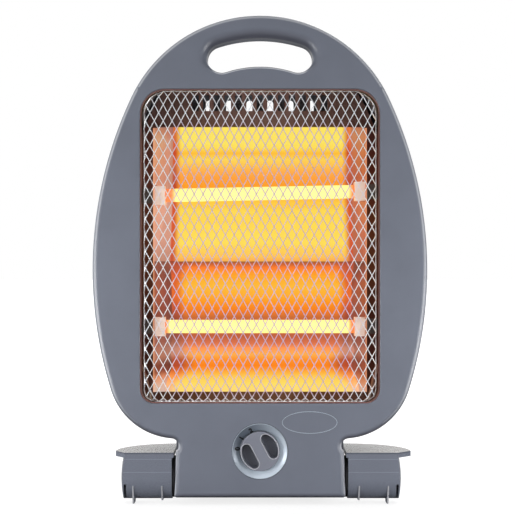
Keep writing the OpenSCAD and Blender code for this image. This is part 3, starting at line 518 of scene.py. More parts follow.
def surface(name, base, roughness, tones, patch, grain, swing, relief, hollow, sockets):
    """A finish with faint patches in its tone, and a fine grain in its roughness and relief.

    Patches and grain are sized in millimetres. Swing is how far the grain takes the roughness down
    and up, relief is the grain's depth in millimetres and its strength, and sockets are the
    shader's other values.
    """
    material, tree, shader, where = new_material(name)
    _, cloud = patches(tree, where, patch, 0, 1)
    noise, rough = patches(tree, where, grain, roughness - swing[0], roughness + swing[1], detail=2)
    tone = add_node(tree, "Mix", {
        0: cloud, 6: shade(base, tones[0]), 7: shade(base, tones[1])
    }, data_type="RGBA")[2]
    # Painted shade in the hollows, where hollow is given.
    if hollow:
        tone = painted_hollow_shade(tree, where, tone, *hollow)
    depth, strength = relief
    raised = add_node(tree, "Bump", {"Height": noise, "Distance": depth * MM, "Strength": strength})[0]
    plug(shader, {"Base Color": tone, "Roughness": rough, "Normal": raised, **sockets})
    return material


def moulded_plastic(name, base, roughness, grain=0.5, variation=0.05, hollow=None):
    """Injection-moulded plastic with a spark-eroded grain: an even colour with a soft satin sheen.

    A real grain is about 0.1 mm, too fine to show, so it is drawn up to 0.8 mm coarse.
    """
    return surface(
        name, base, roughness, tones=(1 - variation, 1 + variation), patch=40, grain=grain,
        swing=(0.05, 0.07), relief=(0.02, 0.35), hollow=hollow, sockets={"IOR": 1.53}
    )


def metal(name, base, roughness, patch=8, variation=0.08, metallic=1.0, grain=0.4, hollow=None):
    """Metal with faint patches in its tone and roughness, as on plated, rolled or enamelled sheet.

    The grain of such a sheet is finer than 0.1 mm, and is drawn 0.4 to 0.6 mm coarse to show.
    """
    return surface(
        name, base, roughness, tones=(1 - variation, 1 + variation / 2), patch=patch, grain=grain,
        swing=(0.06, 0.08), relief=(0.01, 0.5), hollow=hollow, sockets={"Metallic": metallic}
    )


def height_ramp(tree, where, stops):
    """A colour ramp over the height above the base line; each stop is (height, hex colour)."""
    z = add_node(tree, "SeparateXYZ", where)["Z"]
    low, high = stops[0][0], stops[-1][0]
    share = add_node(tree, "MapRange", z, BASE_Z + low * MM, BASE_Z + high * MM)[0]
    ramp = add_node(tree, "ValToRGB", share)[0]
    elements = ramp.node.color_ramp.elements
    while len(elements) < len(stops):
        elements.new(0.5)
    for element, (height, hex_colour) in zip(elements, stops):
        element.position = (height - low) / (high - low)
        element.color = rgba(hex_colour)
    return ramp


# The glow lies this far to the right of the heater's middle, in millimetres.
GLOW_SHIFT = 1.5


def from_middle(tree, x, middle=GLOW_SHIFT):
    """Distance of an x from a middle given in millimetres."""
    moved = add_node(tree, "Math", x, middle * MM, operation="SUBTRACT")[0]
    return add_node(tree, "Math", moved, operation="ABSOLUTE")[0]


def side_share(tree, where, inner, outer, middle=GLOW_SHIFT):
    """Nought within inner millimetres of the middle, rising to one at outer."""
    away = from_middle(tree, add_node(tree, "SeparateXYZ", where)["X"], middle)
    return add_node(tree, "MapRange", away, inner * MM, outer * MM, interpolation_type="SMOOTHSTEP")[0]


# The glow on the reflectors by height above the base line: in the middle, in the bands beside it,
# and on the left and right end plates. Each fold looks towards the bar at its own angle, so the
# bands change at the folds. These colours and widths were set from readings of the photograph and
# aren't worked out from the bars, an open fault.
# Painted reflection: these ramps are emission colours that stand in for the bars' light on the sheet.
GLOW_MIDDLE = [
    (79, "#FFDC78"), (84, "#FFDE66"), (90, "#FFD056"), (95, "#FFA836"), (99, "#FC8414"),
    (104, "#FD9426"), (108, "#FFB04E"), (113, "#FF9A58"), (117, "#DC764E"), (123, "#C0603E"),
    (138, "#C86A38"), (143, "#F07C20"), (149, "#FC961C"), (156, "#FFAE32"), (164, "#FFBC3A"),
    (170, "#FFAC2C"), (175, "#FC922A"), (179, "#EC7430"), (182.4, "#A84C34"), (183.4, "#F4A850"),
    (187, "#FFC656"), (197, "#FFDC58"), (223, "#FFDC56"), (230, "#FFCC46"), (242, "#FFA01C"),
    (250, "#FFA23A"), (256, "#FFB04E"), (261, "#FFC852"), (266, "#FFD858"), (271, "#FFC038"),
    (275, "#FFE058"), (280, "#FFE866"),
]
GLOW_BANDS = [
    (79, "#E8B8A0"), (85, "#FFB878"), (90, "#FFA050"), (95, "#E07030"), (99, "#B84C2C"),
    (104, "#B45030"), (108, "#C88870"), (113, "#C08878"), (118, "#A86850"), (124, "#984C40"),
    (138, "#9C4A38"), (146, "#C85838"), (156, "#E87030"), (170, "#DC6430"), (176, "#C05838"),
    (182.4, "#A84C38"), (183.4, "#C45438"), (192, "#D05834"), (222, "#D85C34"), (236, "#CC5030"),
    (244, "#BC4428"), (256, "#C06044"), (265, "#D46034"), (271, "#C84828"), (279, "#D86438"),
    (288, "#D8743C"),
]
GLOW_LEFT = [
    (79, "#C8B4AC"), (86, "#D0A898"), (91, "#D08868"), (96, "#7E4032"), (101, "#6E3C30"),
    (108, "#A87460"), (114, "#A06C5C"), (119, "#90584A"), (126, "#88564C"), (142, "#7C4438"),
    (158, "#904E40"), (172, "#844A3C"), (182.4, "#8C5444"), (183.4, "#C08C78"), (200, "#D49A84"),
    (228, "#D69E88"), (248, "#C48A74"), (258, "#C88A70"), (272, "#C88C74"), (280, "#C0907C"),
    (287, "#B07060"), (292, "#987068"),
]
GLOW_RIGHT = [
    (79, "#C8A89C"), (86, "#C88874"), (91, "#B4684C"), (96, "#8C4434"), (104, "#7C4438"),
    (112, "#A06858"), (119, "#885044"), (126, "#7C4638"), (165, "#96503E"), (182.4, "#7A4434"),
    (183.4, "#B8684C"), (228, "#BC6C4E"), (250, "#AC583E"), (270, "#B46046"), (284, "#B46C58"),
    (292, "#A86450"),
]
# Where the middle starts to fade, where the band ends and where the end plates' colour starts,
# in millimetres from the middle, by height.
GLOW_REACH = [
    (79, 68, 76, 77), (86, 64, 74, 76), (92, 56, 70, 74), (98, 50, 68, 72), (104, 50, 68, 72),
    (112, 56, 72, 74), (120, 58, 70, 72), (130, 60, 70, 72), (150, 61, 69, 72), (165, 60, 70, 72),
    (178, 56, 68, 72), (182.6, 55, 68, 72), (183.2, 64.5, 70.5, 71.5), (292.5, 64.5, 70.5, 71.5),
]


def reach_ramp(tree, where):
    """The three distances of GLOW_REACH at a point's height, in metres."""
    most = 100
    ramp = height_ramp(tree, where, [(z, "#000000") for z, *_ in GLOW_REACH])
    for element, (_, *reach) in zip(ramp.node.color_ramp.elements, GLOW_REACH):
        element.color = (*(value / most for value in reach), 1)
    parts = add_node(tree, "SeparateColor", ramp)
    return [add_node(tree, "Math", parts[i], most * MM, operation="MULTIPLY")[0] for i in range(3)]


def sheet_with_painted_reflection(name):
    """Polished aluminium sheet with a painted reflection of the bars: an emission colour, band by band,
    stands in for their light on it.
    """
    material, tree, shader, where = new_material(name)
    x, y, _ = add_node(tree, "SeparateXYZ", where)
    away = from_middle(tree, x)
    fade, band, plate = reach_ramp(tree, where)
    plate_end = add_node(tree, "Math", plate, MM, operation="ADD")[0]
    middle, bands, left, right = (
        height_ramp(tree, where, stops) for stops in (GLOW_MIDDLE, GLOW_BANDS, GLOW_LEFT, GLOW_RIGHT)
    )

    def meet(value, low, high, one, other):
        """Goes softly from one colour to the other as the value goes from low to high."""
        share = add_node(tree, "MapRange", value, low, high, interpolation_type="SMOOTHSTEP")[0]
        return add_node(tree, "Mix", {0: share, 6: one, 7: other}, data_type="RGBA")[2]

    ends = meet(x, -MM, MM, left, right)
    glow = meet(away, fade, band, middle, bands)
    glow = meet(away, plate, plate_end, glow, ends)
    # Painted highlight: the front edges of the end plates are given a pale orange, standing in for the light
    # of the bars that they catch.
    front, edge_width = FACE_Y + 15.6 * MM, 0.4 * MM
    edge = add_node(tree, "Mix", {0: 0.5, 6: ends, 7: rgba("#FFB488")}, data_type="RGBA")[2]
    glow = meet(y, front, front - edge_width, glow, edge)
    # Rolling leaves streaks that run across the sheet.
    streaks = add_node(tree, "Mapping", {"Vector": where, "Scale": (0.2, 1, 1)})[0]
    cloud, faint = patches(tree, streaks, 14, 0, 0.1)
    glow = add_node(
        tree, "Mix", {0: faint, 6: glow, 7: rgba("#FFB050")}, data_type="RGBA", blend_type="MULTIPLY"
    )[2]
    plug(shader, {
        "Emission Color": glow, "Emission Strength": 0.95, "Metallic": 0.6,
        "Base Color": dimmed(tree, glow, 0.1, 0.1, 0.1),
        "Roughness": add_node(tree, "MapRange", cloud, *NOISE_RANGE, 0.3, 0.42)[0],
        "Normal": add_node(tree, "Bump", {"Height": cloud, "Distance": 0.1 * MM, "Strength": 0.2})[0],
    })
    return material


def hot_quartz(name, middle, inner, outer):
    """Milky quartz tube, lit from within by the coil: near white in the middle, orange at its ends."""
    material, tree, shader, where = new_material(name)
    ends = side_share(tree, where, inner, outer, middle)
    cloud, pale = patches(tree, where, 6, 0, 0.35)
    core = add_node(tree, "Mix", {0: pale, 6: tint("tube_glow"), 7: rgba("#FFF07C")}, data_type="RGBA")[2]
    glow = add_node(tree, "Mix", {0: ends, 6: core, 7: tint("tube_end_glow")}, data_type="RGBA")[2]
    plug(shader, {
        "Emission Color": glow, "Emission Strength": 1.0, "Base Color": rgba("#807868"), "IOR": 1.46,
        "Roughness": add_node(tree, "MapRange", cloud, *NOISE_RANGE, 0.2, 0.3)[0],
    })
    return material


def retouch(material, share_and_tone):
    """Mixes another tone into a material's base colour; the function gives share and tone."""
    tree = material.node_tree
    shader = tree.nodes["Principled BSDF"]
    tone = shader.inputs["Base Color"].links[0].from_socket
    share, other = share_and_tone(tree, add_node(tree, "TexCoord"), tone)
    mixed = add_node(tree, "Mix", {0: share, 6: tone, 7: other}, data_type="RGBA")[2]
    plug(shader, {"Base Color": mixed})


def painted_sole_reflection(material):
    """Painted reflection: faces that look up are paler, standing in for the white wall seen in them at a
    glancing angle.
    """
    def pale(tree, where, tone):
        up = add_node(tree, "SeparateXYZ", where["Normal"])["Z"]
        share = add_node(tree, "MapRange", up, 0.6, 0.9, 0, 0.85)[0]
        streaks = add_node(tree, "Mapping", {"Vector": where["Object"], "Scale": (0.25, 1, 1)})[0]
        _, cloud = patches(tree, streaks, 6, 0, 1)
        painted_wall_reflection = rgba("#A6A19B")
        return share, add_node(tree, "Mix", {
            0: cloud, 6: shade(painted_wall_reflection, 0.8), 7: shade(painted_wall_reflection, 1.1)
        }, data_type="RGBA")[2]
    retouch(material, pale)


def painted_dial_light(material):
    """Painted light and shade on the dished ring, standing in for the white floor seen in it: bright at its
    foot and right side, dark at its left.
    """
    def ring_light(tree, where, tone):
        x, _, z = add_node(tree, "SeparateXYZ", where["Normal"])
        up = add_node(tree, "Math", z, 0.62, 0.62, operation="MULTIPLY_ADD")[0]
        share = add_node(tree, "Math", x, -0.75, up, operation="MULTIPLY_ADD", use_clamp=True)[0]
        plug(tree.nodes["Principled BSDF"], {
            "Emission Color": rgba("#C4D0DC"),
            "Emission Strength": add_node(tree, "Math", share, 0.26, operation="MULTIPLY")[0],
        })
        dark = add_node(tree, "Math", 1.0, share, operation="SUBTRACT")[0]
        return dark, dimmed(tree, tone, 0.12, 0.14, 0.18)
    retouch(material, ring_light)


def overlap(tree, *shares):
    """Several shares at once: nought wherever one of them is nought."""
    product, *others = shares
    for share in others:
        product = add_node(tree, "Math", product, share, operation="MULTIPLY")[0]
    return product


def peaked(tree, value, low, peak, high):
    """Rises from nought at low to one at peak and falls to nought at high."""
    return overlap(tree, *(add_node(tree, "MapRange", value, edge, peak)[0] for edge in (low, high)))


def heights(tree, z, low, high, soft=6):
    """One between two heights above the base line, fading out over soft millimetres."""
    return overlap(tree, *(
        add_node(tree, "MapRange", z, BASE_Z + faded * MM, BASE_Z + full * MM)[0]
        for faded, full in ((low - soft, low), (high + soft, high))
    ))


# The rolled lip under the carrying slot, and a height above the whole body, in millimetres.
SLOT_LIP = (324, 334.8)
ABOVE_ALL = 400


def painted_edge_light(material):
    """Painted shade where rounded edges look down, and a painted highlight line where they would reflect the
    sides.
    """
    # Painted shade on edges that look down, and on the slot's lip.
    def dark(tree, where, tone):
        up = add_node(tree, "SeparateXYZ", where["Normal"])["Z"]
        z = add_node(tree, "SeparateXYZ", where["Object"])["Z"]
        down = add_node(tree, "MapRange", up, -0.06, -0.75, 0, 0.75)[0]
        steep = add_node(tree, "MapRange", up, 0.72, 0.9, 0, 0.85)[0]
        lip = overlap(tree, steep, heights(tree, z, *SLOT_LIP, 1))
        share = add_node(tree, "Math", down, lip, operation="ADD")[0]
        return share, dimmed(tree, tone, 0.3, 0.27, 0.28)

    # Painted highlight lines along the rounded edges.
    def pale(tree, where, tone):
        nx, ny, nz = add_node(tree, "SeparateXYZ", where["Normal"])
        x, _, z = add_node(tree, "SeparateXYZ", where["Object"])
        level = add_node(tree, "MapRange", nz, -0.45, -0.15)[0]
        away = from_middle(tree, x, 0)
        side, rim, inner = (
            add_node(tree, "MapRange", away, faded * MM, full * MM)[0]
            for faded, full in ((56, 58), (94.3, 95.2), (38, 34))
        )
        # Round the sides and the top, but not along the opening or the carrying slot.
        upward = add_node(tree, "MapRange", nz, 0.0, 0.1)[0]
        top = overlap(tree, heights(tree, z, 348, ABOVE_ALL, 4), upward)
        crown = add_node(tree, "Math", side, top, operation="MAXIMUM")[0]
        crown = overlap(tree, crown, heights(tree, z, 319, ABOVE_ALL, 1))
        rim = add_node(tree, "Math", rim, crown, operation="MAXIMUM")[0]
        edge = peaked(tree, ny, -0.968, -0.85, -0.5)
        line = overlap(tree, edge, heights(tree, z, 60, ABOVE_ALL, 16), level, rim)
        out = add_node(tree, "Math", nx, operation="ABSOLUTE")[0]
        neck = overlap(tree, peaked(tree, out, 0.5, 0.78, 1.1), heights(tree, z, -10, 44), level, side)
        lip = overlap(tree, peaked(tree, nz, 0.02, 0.4, 0.8), heights(tree, z, *SLOT_LIP, 1), inner, 1.5)
        share = line
        for part in (neck, lip):
            share = add_node(tree, "Math", share, part, operation="ADD")[0]
        return overlap(tree, share, 0.55), rgba("#E6E8EE")
    retouch(material, dark)
    retouch(material, pale)


def painted_foot_lines_and_shadow(material):
    """The barrel's two fine parting lines, drawn as painted pale highlight lines, and a painted shadow under
    the sole's front edge.
    """
    def front_and_height(tree, where):
        ny = add_node(tree, "SeparateXYZ", where["Normal"])["Y"]
        z = add_node(tree, "SeparateXYZ", where["Object"])["Z"]
        return add_node(tree, "MapRange", ny, -0.3, -0.7)[0], z

    def lines(tree, where, tone):
        front, z = front_and_height(tree, where)
        upper, lower = (heights(tree, z, *line, 0.3) for line in ((30.0, 30.2), (19.9, 20.1)))
        fine = add_node(tree, "Math", upper, lower, operation="ADD")[0]
        return overlap(tree, fine, front, 0.15), rgba("#D0D4DC")

    def shadow(tree, where, tone):
        front, z = front_and_height(tree, where)
        under = heights(tree, z, 34.6, 35.0, 0.7)
        return overlap(tree, under, front, 0.6), dimmed(tree, tone, 0.2, 0.2, 0.22)
    retouch(material, lines)
    retouch(material, shadow)


def painted_strand_shade(material):
    """Painted shade: the strands are given a dull lilac where they cross the glow, standing in for its light
    behind them, and stay bright elsewhere.
    """
    def dull(tree, where, tone):
        z = add_node(tree, "SeparateXYZ", where["Object"])["Z"]
        foot, head = (
            add_node(tree, "MapRange", z, BASE_Z + faded * MM, BASE_Z + full * MM)[0]
            for faded, full in ((76, 81), (294, 288))
        )
        return overlap(tree, foot, head, side_share(tree, where["Object"], 74, 64)), rgba("#D8C4E0")
    retouch(material, dull)


def make_materials():
    """Fills MATERIALS. Each comment says what the real surface is and what it gives the eye."""
    m = MATERIALS
    # Moulded ABS with a fine grain: a soft satin grey, with a painted highlight line along its rounded edges
    # and painted shade where they look down.
    m["panel"] = moulded_plastic("grey_moulded_abs", tint("panel"), 0.34)
    painted_edge_light(m["panel"])
    # The same ABS with a coarser grain behind: darker, with hardly any sheen.
    m["cover"] = moulded_plastic("grey_moulded_abs_cover", tint("cover"), 0.5)
    # The same ABS from a smoother mould: a clearer sheen along the barrels, with a painted pale reflection
    # on the soles, painted pale parting lines and a painted shadow under the sole's front edge.
    m["foot"] = moulded_plastic("grey_moulded_abs_foot", tint("panel"), 0.26)
    painted_foot_lines_and_shadow(m["foot"])
    painted_sole_reflection(m["foot"])
    # The same ABS in thin edges, painted pale as a highlight where they would catch the light.
    m["painted_edge_highlight"] = moulded_plastic("grey_moulded_abs_painted_highlight", rgba("#B4B5BB"), 0.3)
    # Satin ABS: smoother than the panel, with painted shade darkening it down in the hollows.
    m["knob"] = moulded_plastic("grey_satin_abs_knob", tint("knob"), 0.3, grain=0.3, hollow=(0.5, 7, 0.8))
    # Silver lacquer on plastic: a bright, slightly cloudy finish, with a painted sheen and painted shade
    # that shift round the ring.
    m["dial"] = metal("silver_lacquered_dial", tint("dial"), 0.34, metallic=0.15, patch=20)
    painted_dial_light(m["dial"])
    # Pad printing: flat black with no gloss.
    m["ink"] = moulded_plastic("black_pad_printing", rgba("#060608"), 0.6)
    # Nickel-plated expanded steel: bright thin strands, with painted shade dulling them where the glow shows
    # behind them.
    m["strand"] = metal(
        "nickel_plated_expanded_steel", tint("strand"), 0.35, patch=5, variation=0.06, metallic=0.4
    )
    painted_strand_shade(m["strand"])
    # Stoved enamel on steel: an even brown with a dull gloss, with painted shade taking it nearly black
    # where it turns in.
    m["frame"] = metal(
        "brown_stoved_enamel", tint("frame"), 0.45, metallic=0, grain=0.6, hollow=(1.6, 3, 0.12)
    )
    # Heat-resisting enamel: matt brown in broad uneven patches, as heat leaves it.
    m["shield"] = metal(
        "brown_heat_resisting_enamel", tint("shield"), 0.5, metallic=0, patch=25, variation=0.16
    )
    # Polished aluminium: painted bands of yellow, orange and red, as emission standing in for the bars'
    # reflection.
    m["sheet"] = sheet_with_painted_reflection("polished_aluminium_reflector")
    # Milky quartz, lit from within: near white, and orange where the coil ends.
    m["quartz_upper"] = hot_quartz("milky_quartz_glowing_upper", 1.7, 67, 72)
    m["quartz_lower"] = hot_quartz("milky_quartz_glowing_lower", -0.8, 69.5, 73.5)
    # Drawn resistance wire: oxidised dark grey with a faint shine.
    m["coil"] = metal("resistance_wire", rgba("#6A625C"), 0.45, patch=3)
    # Pressed and fired steatite: matt off-white, with a painted warm glow as emission, standing in for the
    # bars' light on it.
    m["ceramic"] = moulded_plastic("steatite_ceramic", tint("ceramic"), 0.6, grain=0.8, variation=0.08)
    plug(m["ceramic"].node_tree.nodes["Principled BSDF"], {
        "Emission Color": rgba("#FFC8A8"), "Emission Strength": 0.22
    })
    # Blued spring steel: dark grey with a sharp narrow shine.
    m["spring"] = metal("blued_spring_steel", rgba("#8A8480"), 0.4)
    # Pressed phenolic: an ivory with a low sheen.
    m["switch"] = moulded_plastic("ivory_phenolic", rgba("#CFC9B8"), 0.5)
    # Moulded rubber: nearly black, and quite matt.
    m["rubber"] = moulded_plastic("black_rubber", rgba("#1A1A1D"), 0.8, grain=0.8)
    # Zinc-plated steel: bright grey in small patches.
    m["zinc"] = metal("zinc_plated_steel", rgba("#B9BCC0"), 0.3, patch=4)
    # Braided glass-fibre sleeve: matt cream, its braid drawn as a coarse grain.
    m["lead"] = moulded_plastic("glass_fibre_sleeve", rgba("#D8D2C4"), 0.8, grain=0.6)


# The CAD pieces that stay as they are, by finish.
KEPT_NODES = {
    "frame": ("grille_frame",), "shield": ("heat_shield",),
    "sheet": ("reflector_upper", "reflector_lower", "reflector_end_left", "reflector_end_right"),
    "spring": ("tube_clips",), "switch": ("rotary_switch", "tip_switch", "terminal_block"),
    "cover": ("base_cover",), "zinc": ("hinge_pin_left", "hinge_pin_right", "switch_shaft"),
    "lead": ("lead_wires",), "rubber": ("hinge_washers",),
}


class HEATER_OT_materials(bpy.types.Operator):
    """Make the finishes and give them to the CAD pieces that stay as they are"""
    bl_idname = "heater.materials"
    bl_label = "Finishes"

    def execute(self, context):
        make_materials()
        for material, nodes in KEPT_NODES.items():
            for node in nodes:
                data = frame["nodes"][node].data
                data.materials.clear()
                data.materials.append(MATERIALS[material])
        return {"FINISHED"}


# ---- The two shells ----

# Quarter rounds are drawn in this many steps: on the panel's edges and along the carrying slot, and
# on the cover's rim and shoulder.
EDGE_STEPS, SLOT_STEPS, RIM_STEPS, SHOULDER_STEPS = 7, 9, 6, 8
# The opening's edge, and the carrying slot's edge along its bottom, in millimetres.
OPENING_EDGE_R, SLOT_EDGE_R = 1.0, 1.7
# A flat strip of this width runs round the panel's rounded edges, and a wider one round the slot's.
EDGE_STRIP, SLOT_STRIP = 0.4, 0.5
BADGE_PLACE = (38.6, 58.6)
# The badge line's section: how far in from the oval, and how far behind the face.
BADGE_SECTION = ((0, 0.05), (0.15, -0.12), (0.45, -0.12), (0.6, 0.05))


def quarter(steps):
    """How far along and how far down a quarter round goes at each step, as shares of its radius."""
    turns = [math.pi / 2 * i / steps for i in range(steps + 1)]
    return [(math.sin(a), 1 - math.cos(a)) for a in turns]


class HEATER_OT_panel(bpy.types.Operator):
    """Make the front panel with its opening, carrying slot and empty oval badge"""
    bl_idname = "heater.panel"
    bl_label = "Front panel"

    def execute(self, context):
        depth, wall = mm("panel_depth"), mm("wall")
        shell = Shell()

        def rolled(outline_at, radius):
            """Loops from the flat face over a quarter round to the full depth."""
            loops = [shell.loop(outline_at(radius + EDGE_STRIP), 0)]
            for along, down in quarter(EDGE_STEPS):
                loops.append(shell.loop(outline_at(radius * (1 - along)), radius * down))
            return loops + [shell.loop(outline_at(0), depth)]

        outer = rolled(body_outline, mm("edge_r"))
        outer += [shell.loop(body_outline(wall), depth), shell.loop(body_outline(wall + 1), wall)]
        opening = rolled(opening_outline, OPENING_EDGE_R)
        opening += [shell.loop(opening_outline(wall), d) for d in (depth, wall)]

        # The slot's edge is a wide soft roll over its top and ends, and tight along its bottom.
        def roll_at(nz):
            wide = mm("slot_roll") - SLOT_EDGE_R
            return SLOT_EDGE_R + wide * smooth_step(-0.85, -0.1, nz)

        widths = []
        no_margin = slot_outline(lambda nx, nz: widths.append(roll_at(nz)) or 0)
        slot = [shell.loop(slot_outline(lambda nx, nz: roll_at(nz) + SLOT_STRIP), 0)]
        for along, down in quarter(SLOT_STEPS):
            outline = slot_outline(lambda nx, nz: roll_at(nz) * (1 - along))
            slot.append(shell.loop(outline, [w * down for w in widths]))
        slot += [shell.loop(no_margin, depth)]
        slot += [shell.loop(slot_outline(lambda nx, nz: wall), d) for d in (depth, wall)]

        # The well that holds dial and knob, and its boss behind.
        rim, cup = mm("dial_d") / 2 + 0.3, mm("knob_d") / 2 + 1.4
        dip, sink = mm("dial_dip") + 0.9, mm("dial_sink")
        well, boss = (
            [shell.loop(arc((0, mm("knob_z")), r, 90, -270, ROUND_STEPS), d) for r, d in section]
            for section in (
                ((rim + 0.2, 0), (rim, 0.2), (rim, 0.9), (cup, dip), (cup, sink)),
                ((rim + wall / 2, wall), (rim + wall / 2, dip + wall), (cup + wall, dip + wall),
                 (cup + wall, sink + wall)),
            )
        )
        for loops in (outer, opening, slot, well, boss):
            shell.strip(*loops)
        shell.fill(well[-1])
        shell.fill(boss[-1])
        shell.fill(outer[0], opening[0], slot[0], well[0])
        shell.fill(outer[-1], opening[-1], slot[-1], boss[0])
        finish(shell.piece("front_panel_shell"), "panel", "heater", ["front_panel"])

        line = Shell()
        loops = []
        for inset, behind in BADGE_SECTION:
            w, h = mm("badge_w") / 2 - inset, mm("badge_h") / 2 - inset
            circle = arc((0, 0), 1, 0, 360, ROUND_STEPS)
            oval = [(BADGE_PLACE[0] + w * x, BADGE_PLACE[1] + h * z) for x, z in circle]
            loops.append(line.loop(oval, behind))
        line.strip(*loops, loops[0])
        finish(line.piece("badge_line"), "dial", "heater")
        return {"FINISHED"}


# Heights and lengths of the two rows of vents, and the vents' width, spacing and number.
VENT_ROWS = ((288, 28), (84, 26))
VENT_W, VENT_PITCH, VENT_COLUMNS = 5.5, 16.7, 8
# Round posts and holes: radius, and the depths where they start and end.
POST, WELL, RIM_WELL, GLAND_HOLE = (5.5, 77, 14), (3.5, 82, 26), (3.5, 29, 26), (6.1, 82, 76)
# Where they are: distance from the middle and height.
WELL_PLACE, RIM_WELL_PLACE, GLAND_PLACE = (48, 52), (58, 338), (-34, 20)
# A cheek's width, height and depth, each from and to.
CHEEK_X, CHEEK_Z, CHEEK_DEPTH = (60.5, 65.9), (31, 47), (22, 26)


class HEATER_OT_cover(bpy.types.Operator):
    """Make the rear cover with its deep part, vents, screw wells and its half of the slot"""
    bl_idname = "heater.cover"
    bl_label = "Rear cover"

    def execute(self, context):
        front, rim, back = mm("panel_depth"), mm("rim_depth"), mm("body_depth")
        edge, shoulder, wall = mm("rim_edge_r"), mm("shoulder_r"), mm("wall")
        hump, top = mm("hump_inset"), mm("hump_top_z")
        # The cover lies this far inside the panel's outline, and its deep part's top corners are round.
        gap, corner = 1.0, 14.0
        shell = Shell()

        def rim_loops(extra):
            loops = [shell.loop(body_outline(gap + extra), front + (0.01 if extra else 0))]
            for along, down in quarter(RIM_STEPS):
                outline = body_outline(gap + extra + edge * down)
                loops.append(shell.loop(outline, rim - extra - edge * (1 - along)))
            return loops

        def hump_loops(extra):
            loops = [shell.loop(body_outline(hump + extra, top - extra, corner), rim - extra)]
            for along, down in quarter(SHOULDER_STEPS):
                inset = shoulder * down
                outline = body_outline(hump + extra + inset, top - extra - inset, max(corner - inset, 1))
                loops.append(shell.loop(outline, back - extra - shoulder * (1 - along)))
            return loops

        outer_rim, outer_hump = rim_loops(0), hump_loops(0)
        inner_rim, inner_hump = rim_loops(wall), hump_loops(wall)
        # The slot's rounded edge at the back, and the wall round it.
        slot = []
        for margin, depth in (
            (3, rim), (1.2, rim - 0.6), (0.3, rim - 2), (0, rim - 3.4), (0, front), (wall, front),
            (wall, rim - wall)
        ):
            slot.append(shell.loop(slot_outline(lambda nx, nz: margin), depth))
        for loops in (slot, outer_rim, inner_rim, (outer_rim[0], inner_rim[0]), outer_hump, inner_hump):
            shell.strip(*loops)
        shell.fill(outer_rim[-1], outer_hump[0], slot[0])
        shell.fill(inner_rim[-1], inner_hump[0], slot[-1])
        shell.fill(outer_hump[-1])
        shell.fill(inner_hump[-1])
        cover = shell.piece("rear_cover_shell")

        # Two rows of upright vents, cut as copies of one slot with round ends.
        half = VENT_W / 2
        for z, height in VENT_ROWS:
            cutter = Shell()
            ends = arc((0, height - half), half, 180, 0, 8) + [(half, height - half)]
            ends += arc((0, half), half, 0, -180, 8) + [(-half, half)]
            cutter.prism(*(
                [cutter.bm.verts.new(Vector((x, d, up)) * MM) for x, up in ends] for d in (-20, 5)
            ))
            columns = [(VENT_PITCH * (i - (VENT_COLUMNS - 1) / 2), back, z) for i in range(VENT_COLUMNS)]
            cast = cutter.piece("vent_cutter")
            carve(cover, repeated("vent_cutters", cast, columns, MATERIALS["cover"]))

        def drill(name, size, x, z, operation="DIFFERENCE"):
            """Drills a round hole, or stands a post there."""
            radius, start, end = size
            carve(cover, lathe(name, [(radius, -start), (radius, -end)], (x, 0, z), 40), operation)

        for s in (-1, 1):
            drill("well_post", POST, s * WELL_PLACE[0], WELL_PLACE[1], "UNION")
            drill("well", WELL, s * WELL_PLACE[0], WELL_PLACE[1])
            drill("rim_well", RIM_WELL, s * RIM_WELL_PLACE[0], RIM_WELL_PLACE[1])
        drill("gland_hole", GLAND_HOLE, *GLAND_PLACE)
        # A cheek behind each notch closes the view past the foot.
        (x0, x1), (z0, z1) = CHEEK_X, CHEEK_Z
        for s in (-1, 1):
            cheek = Shell()
            outline = [(s * x, z) for x, z in ((x0, z0), (x1, z0), (x1, z1), (x0, z1))]
            cheek.prism(*(cheek.loop(outline, d) for d in CHEEK_DEPTH))
            carve(cover, cheek.piece("cheek"), "UNION")
        finish(cover, "cover", "heater", ["rear_cover"], crease=28)
        return {"FINISHED"}


# ---- Grille ----

# The lattice has this many diamonds along each diagonal, more than the opening takes.
LATTICE_COUNT = 60
# How far the net's edge lies in from the opening: at the sides, at top and bottom, and how much
# tighter its corners are, in millimetres.
NET_SIDE, NET_END, NET_CORNER = 2.8, 1.1, 1.6
LATTICE_SHIFT = (0.75, 0, -3.8)
NET_DEPTH = 3.0


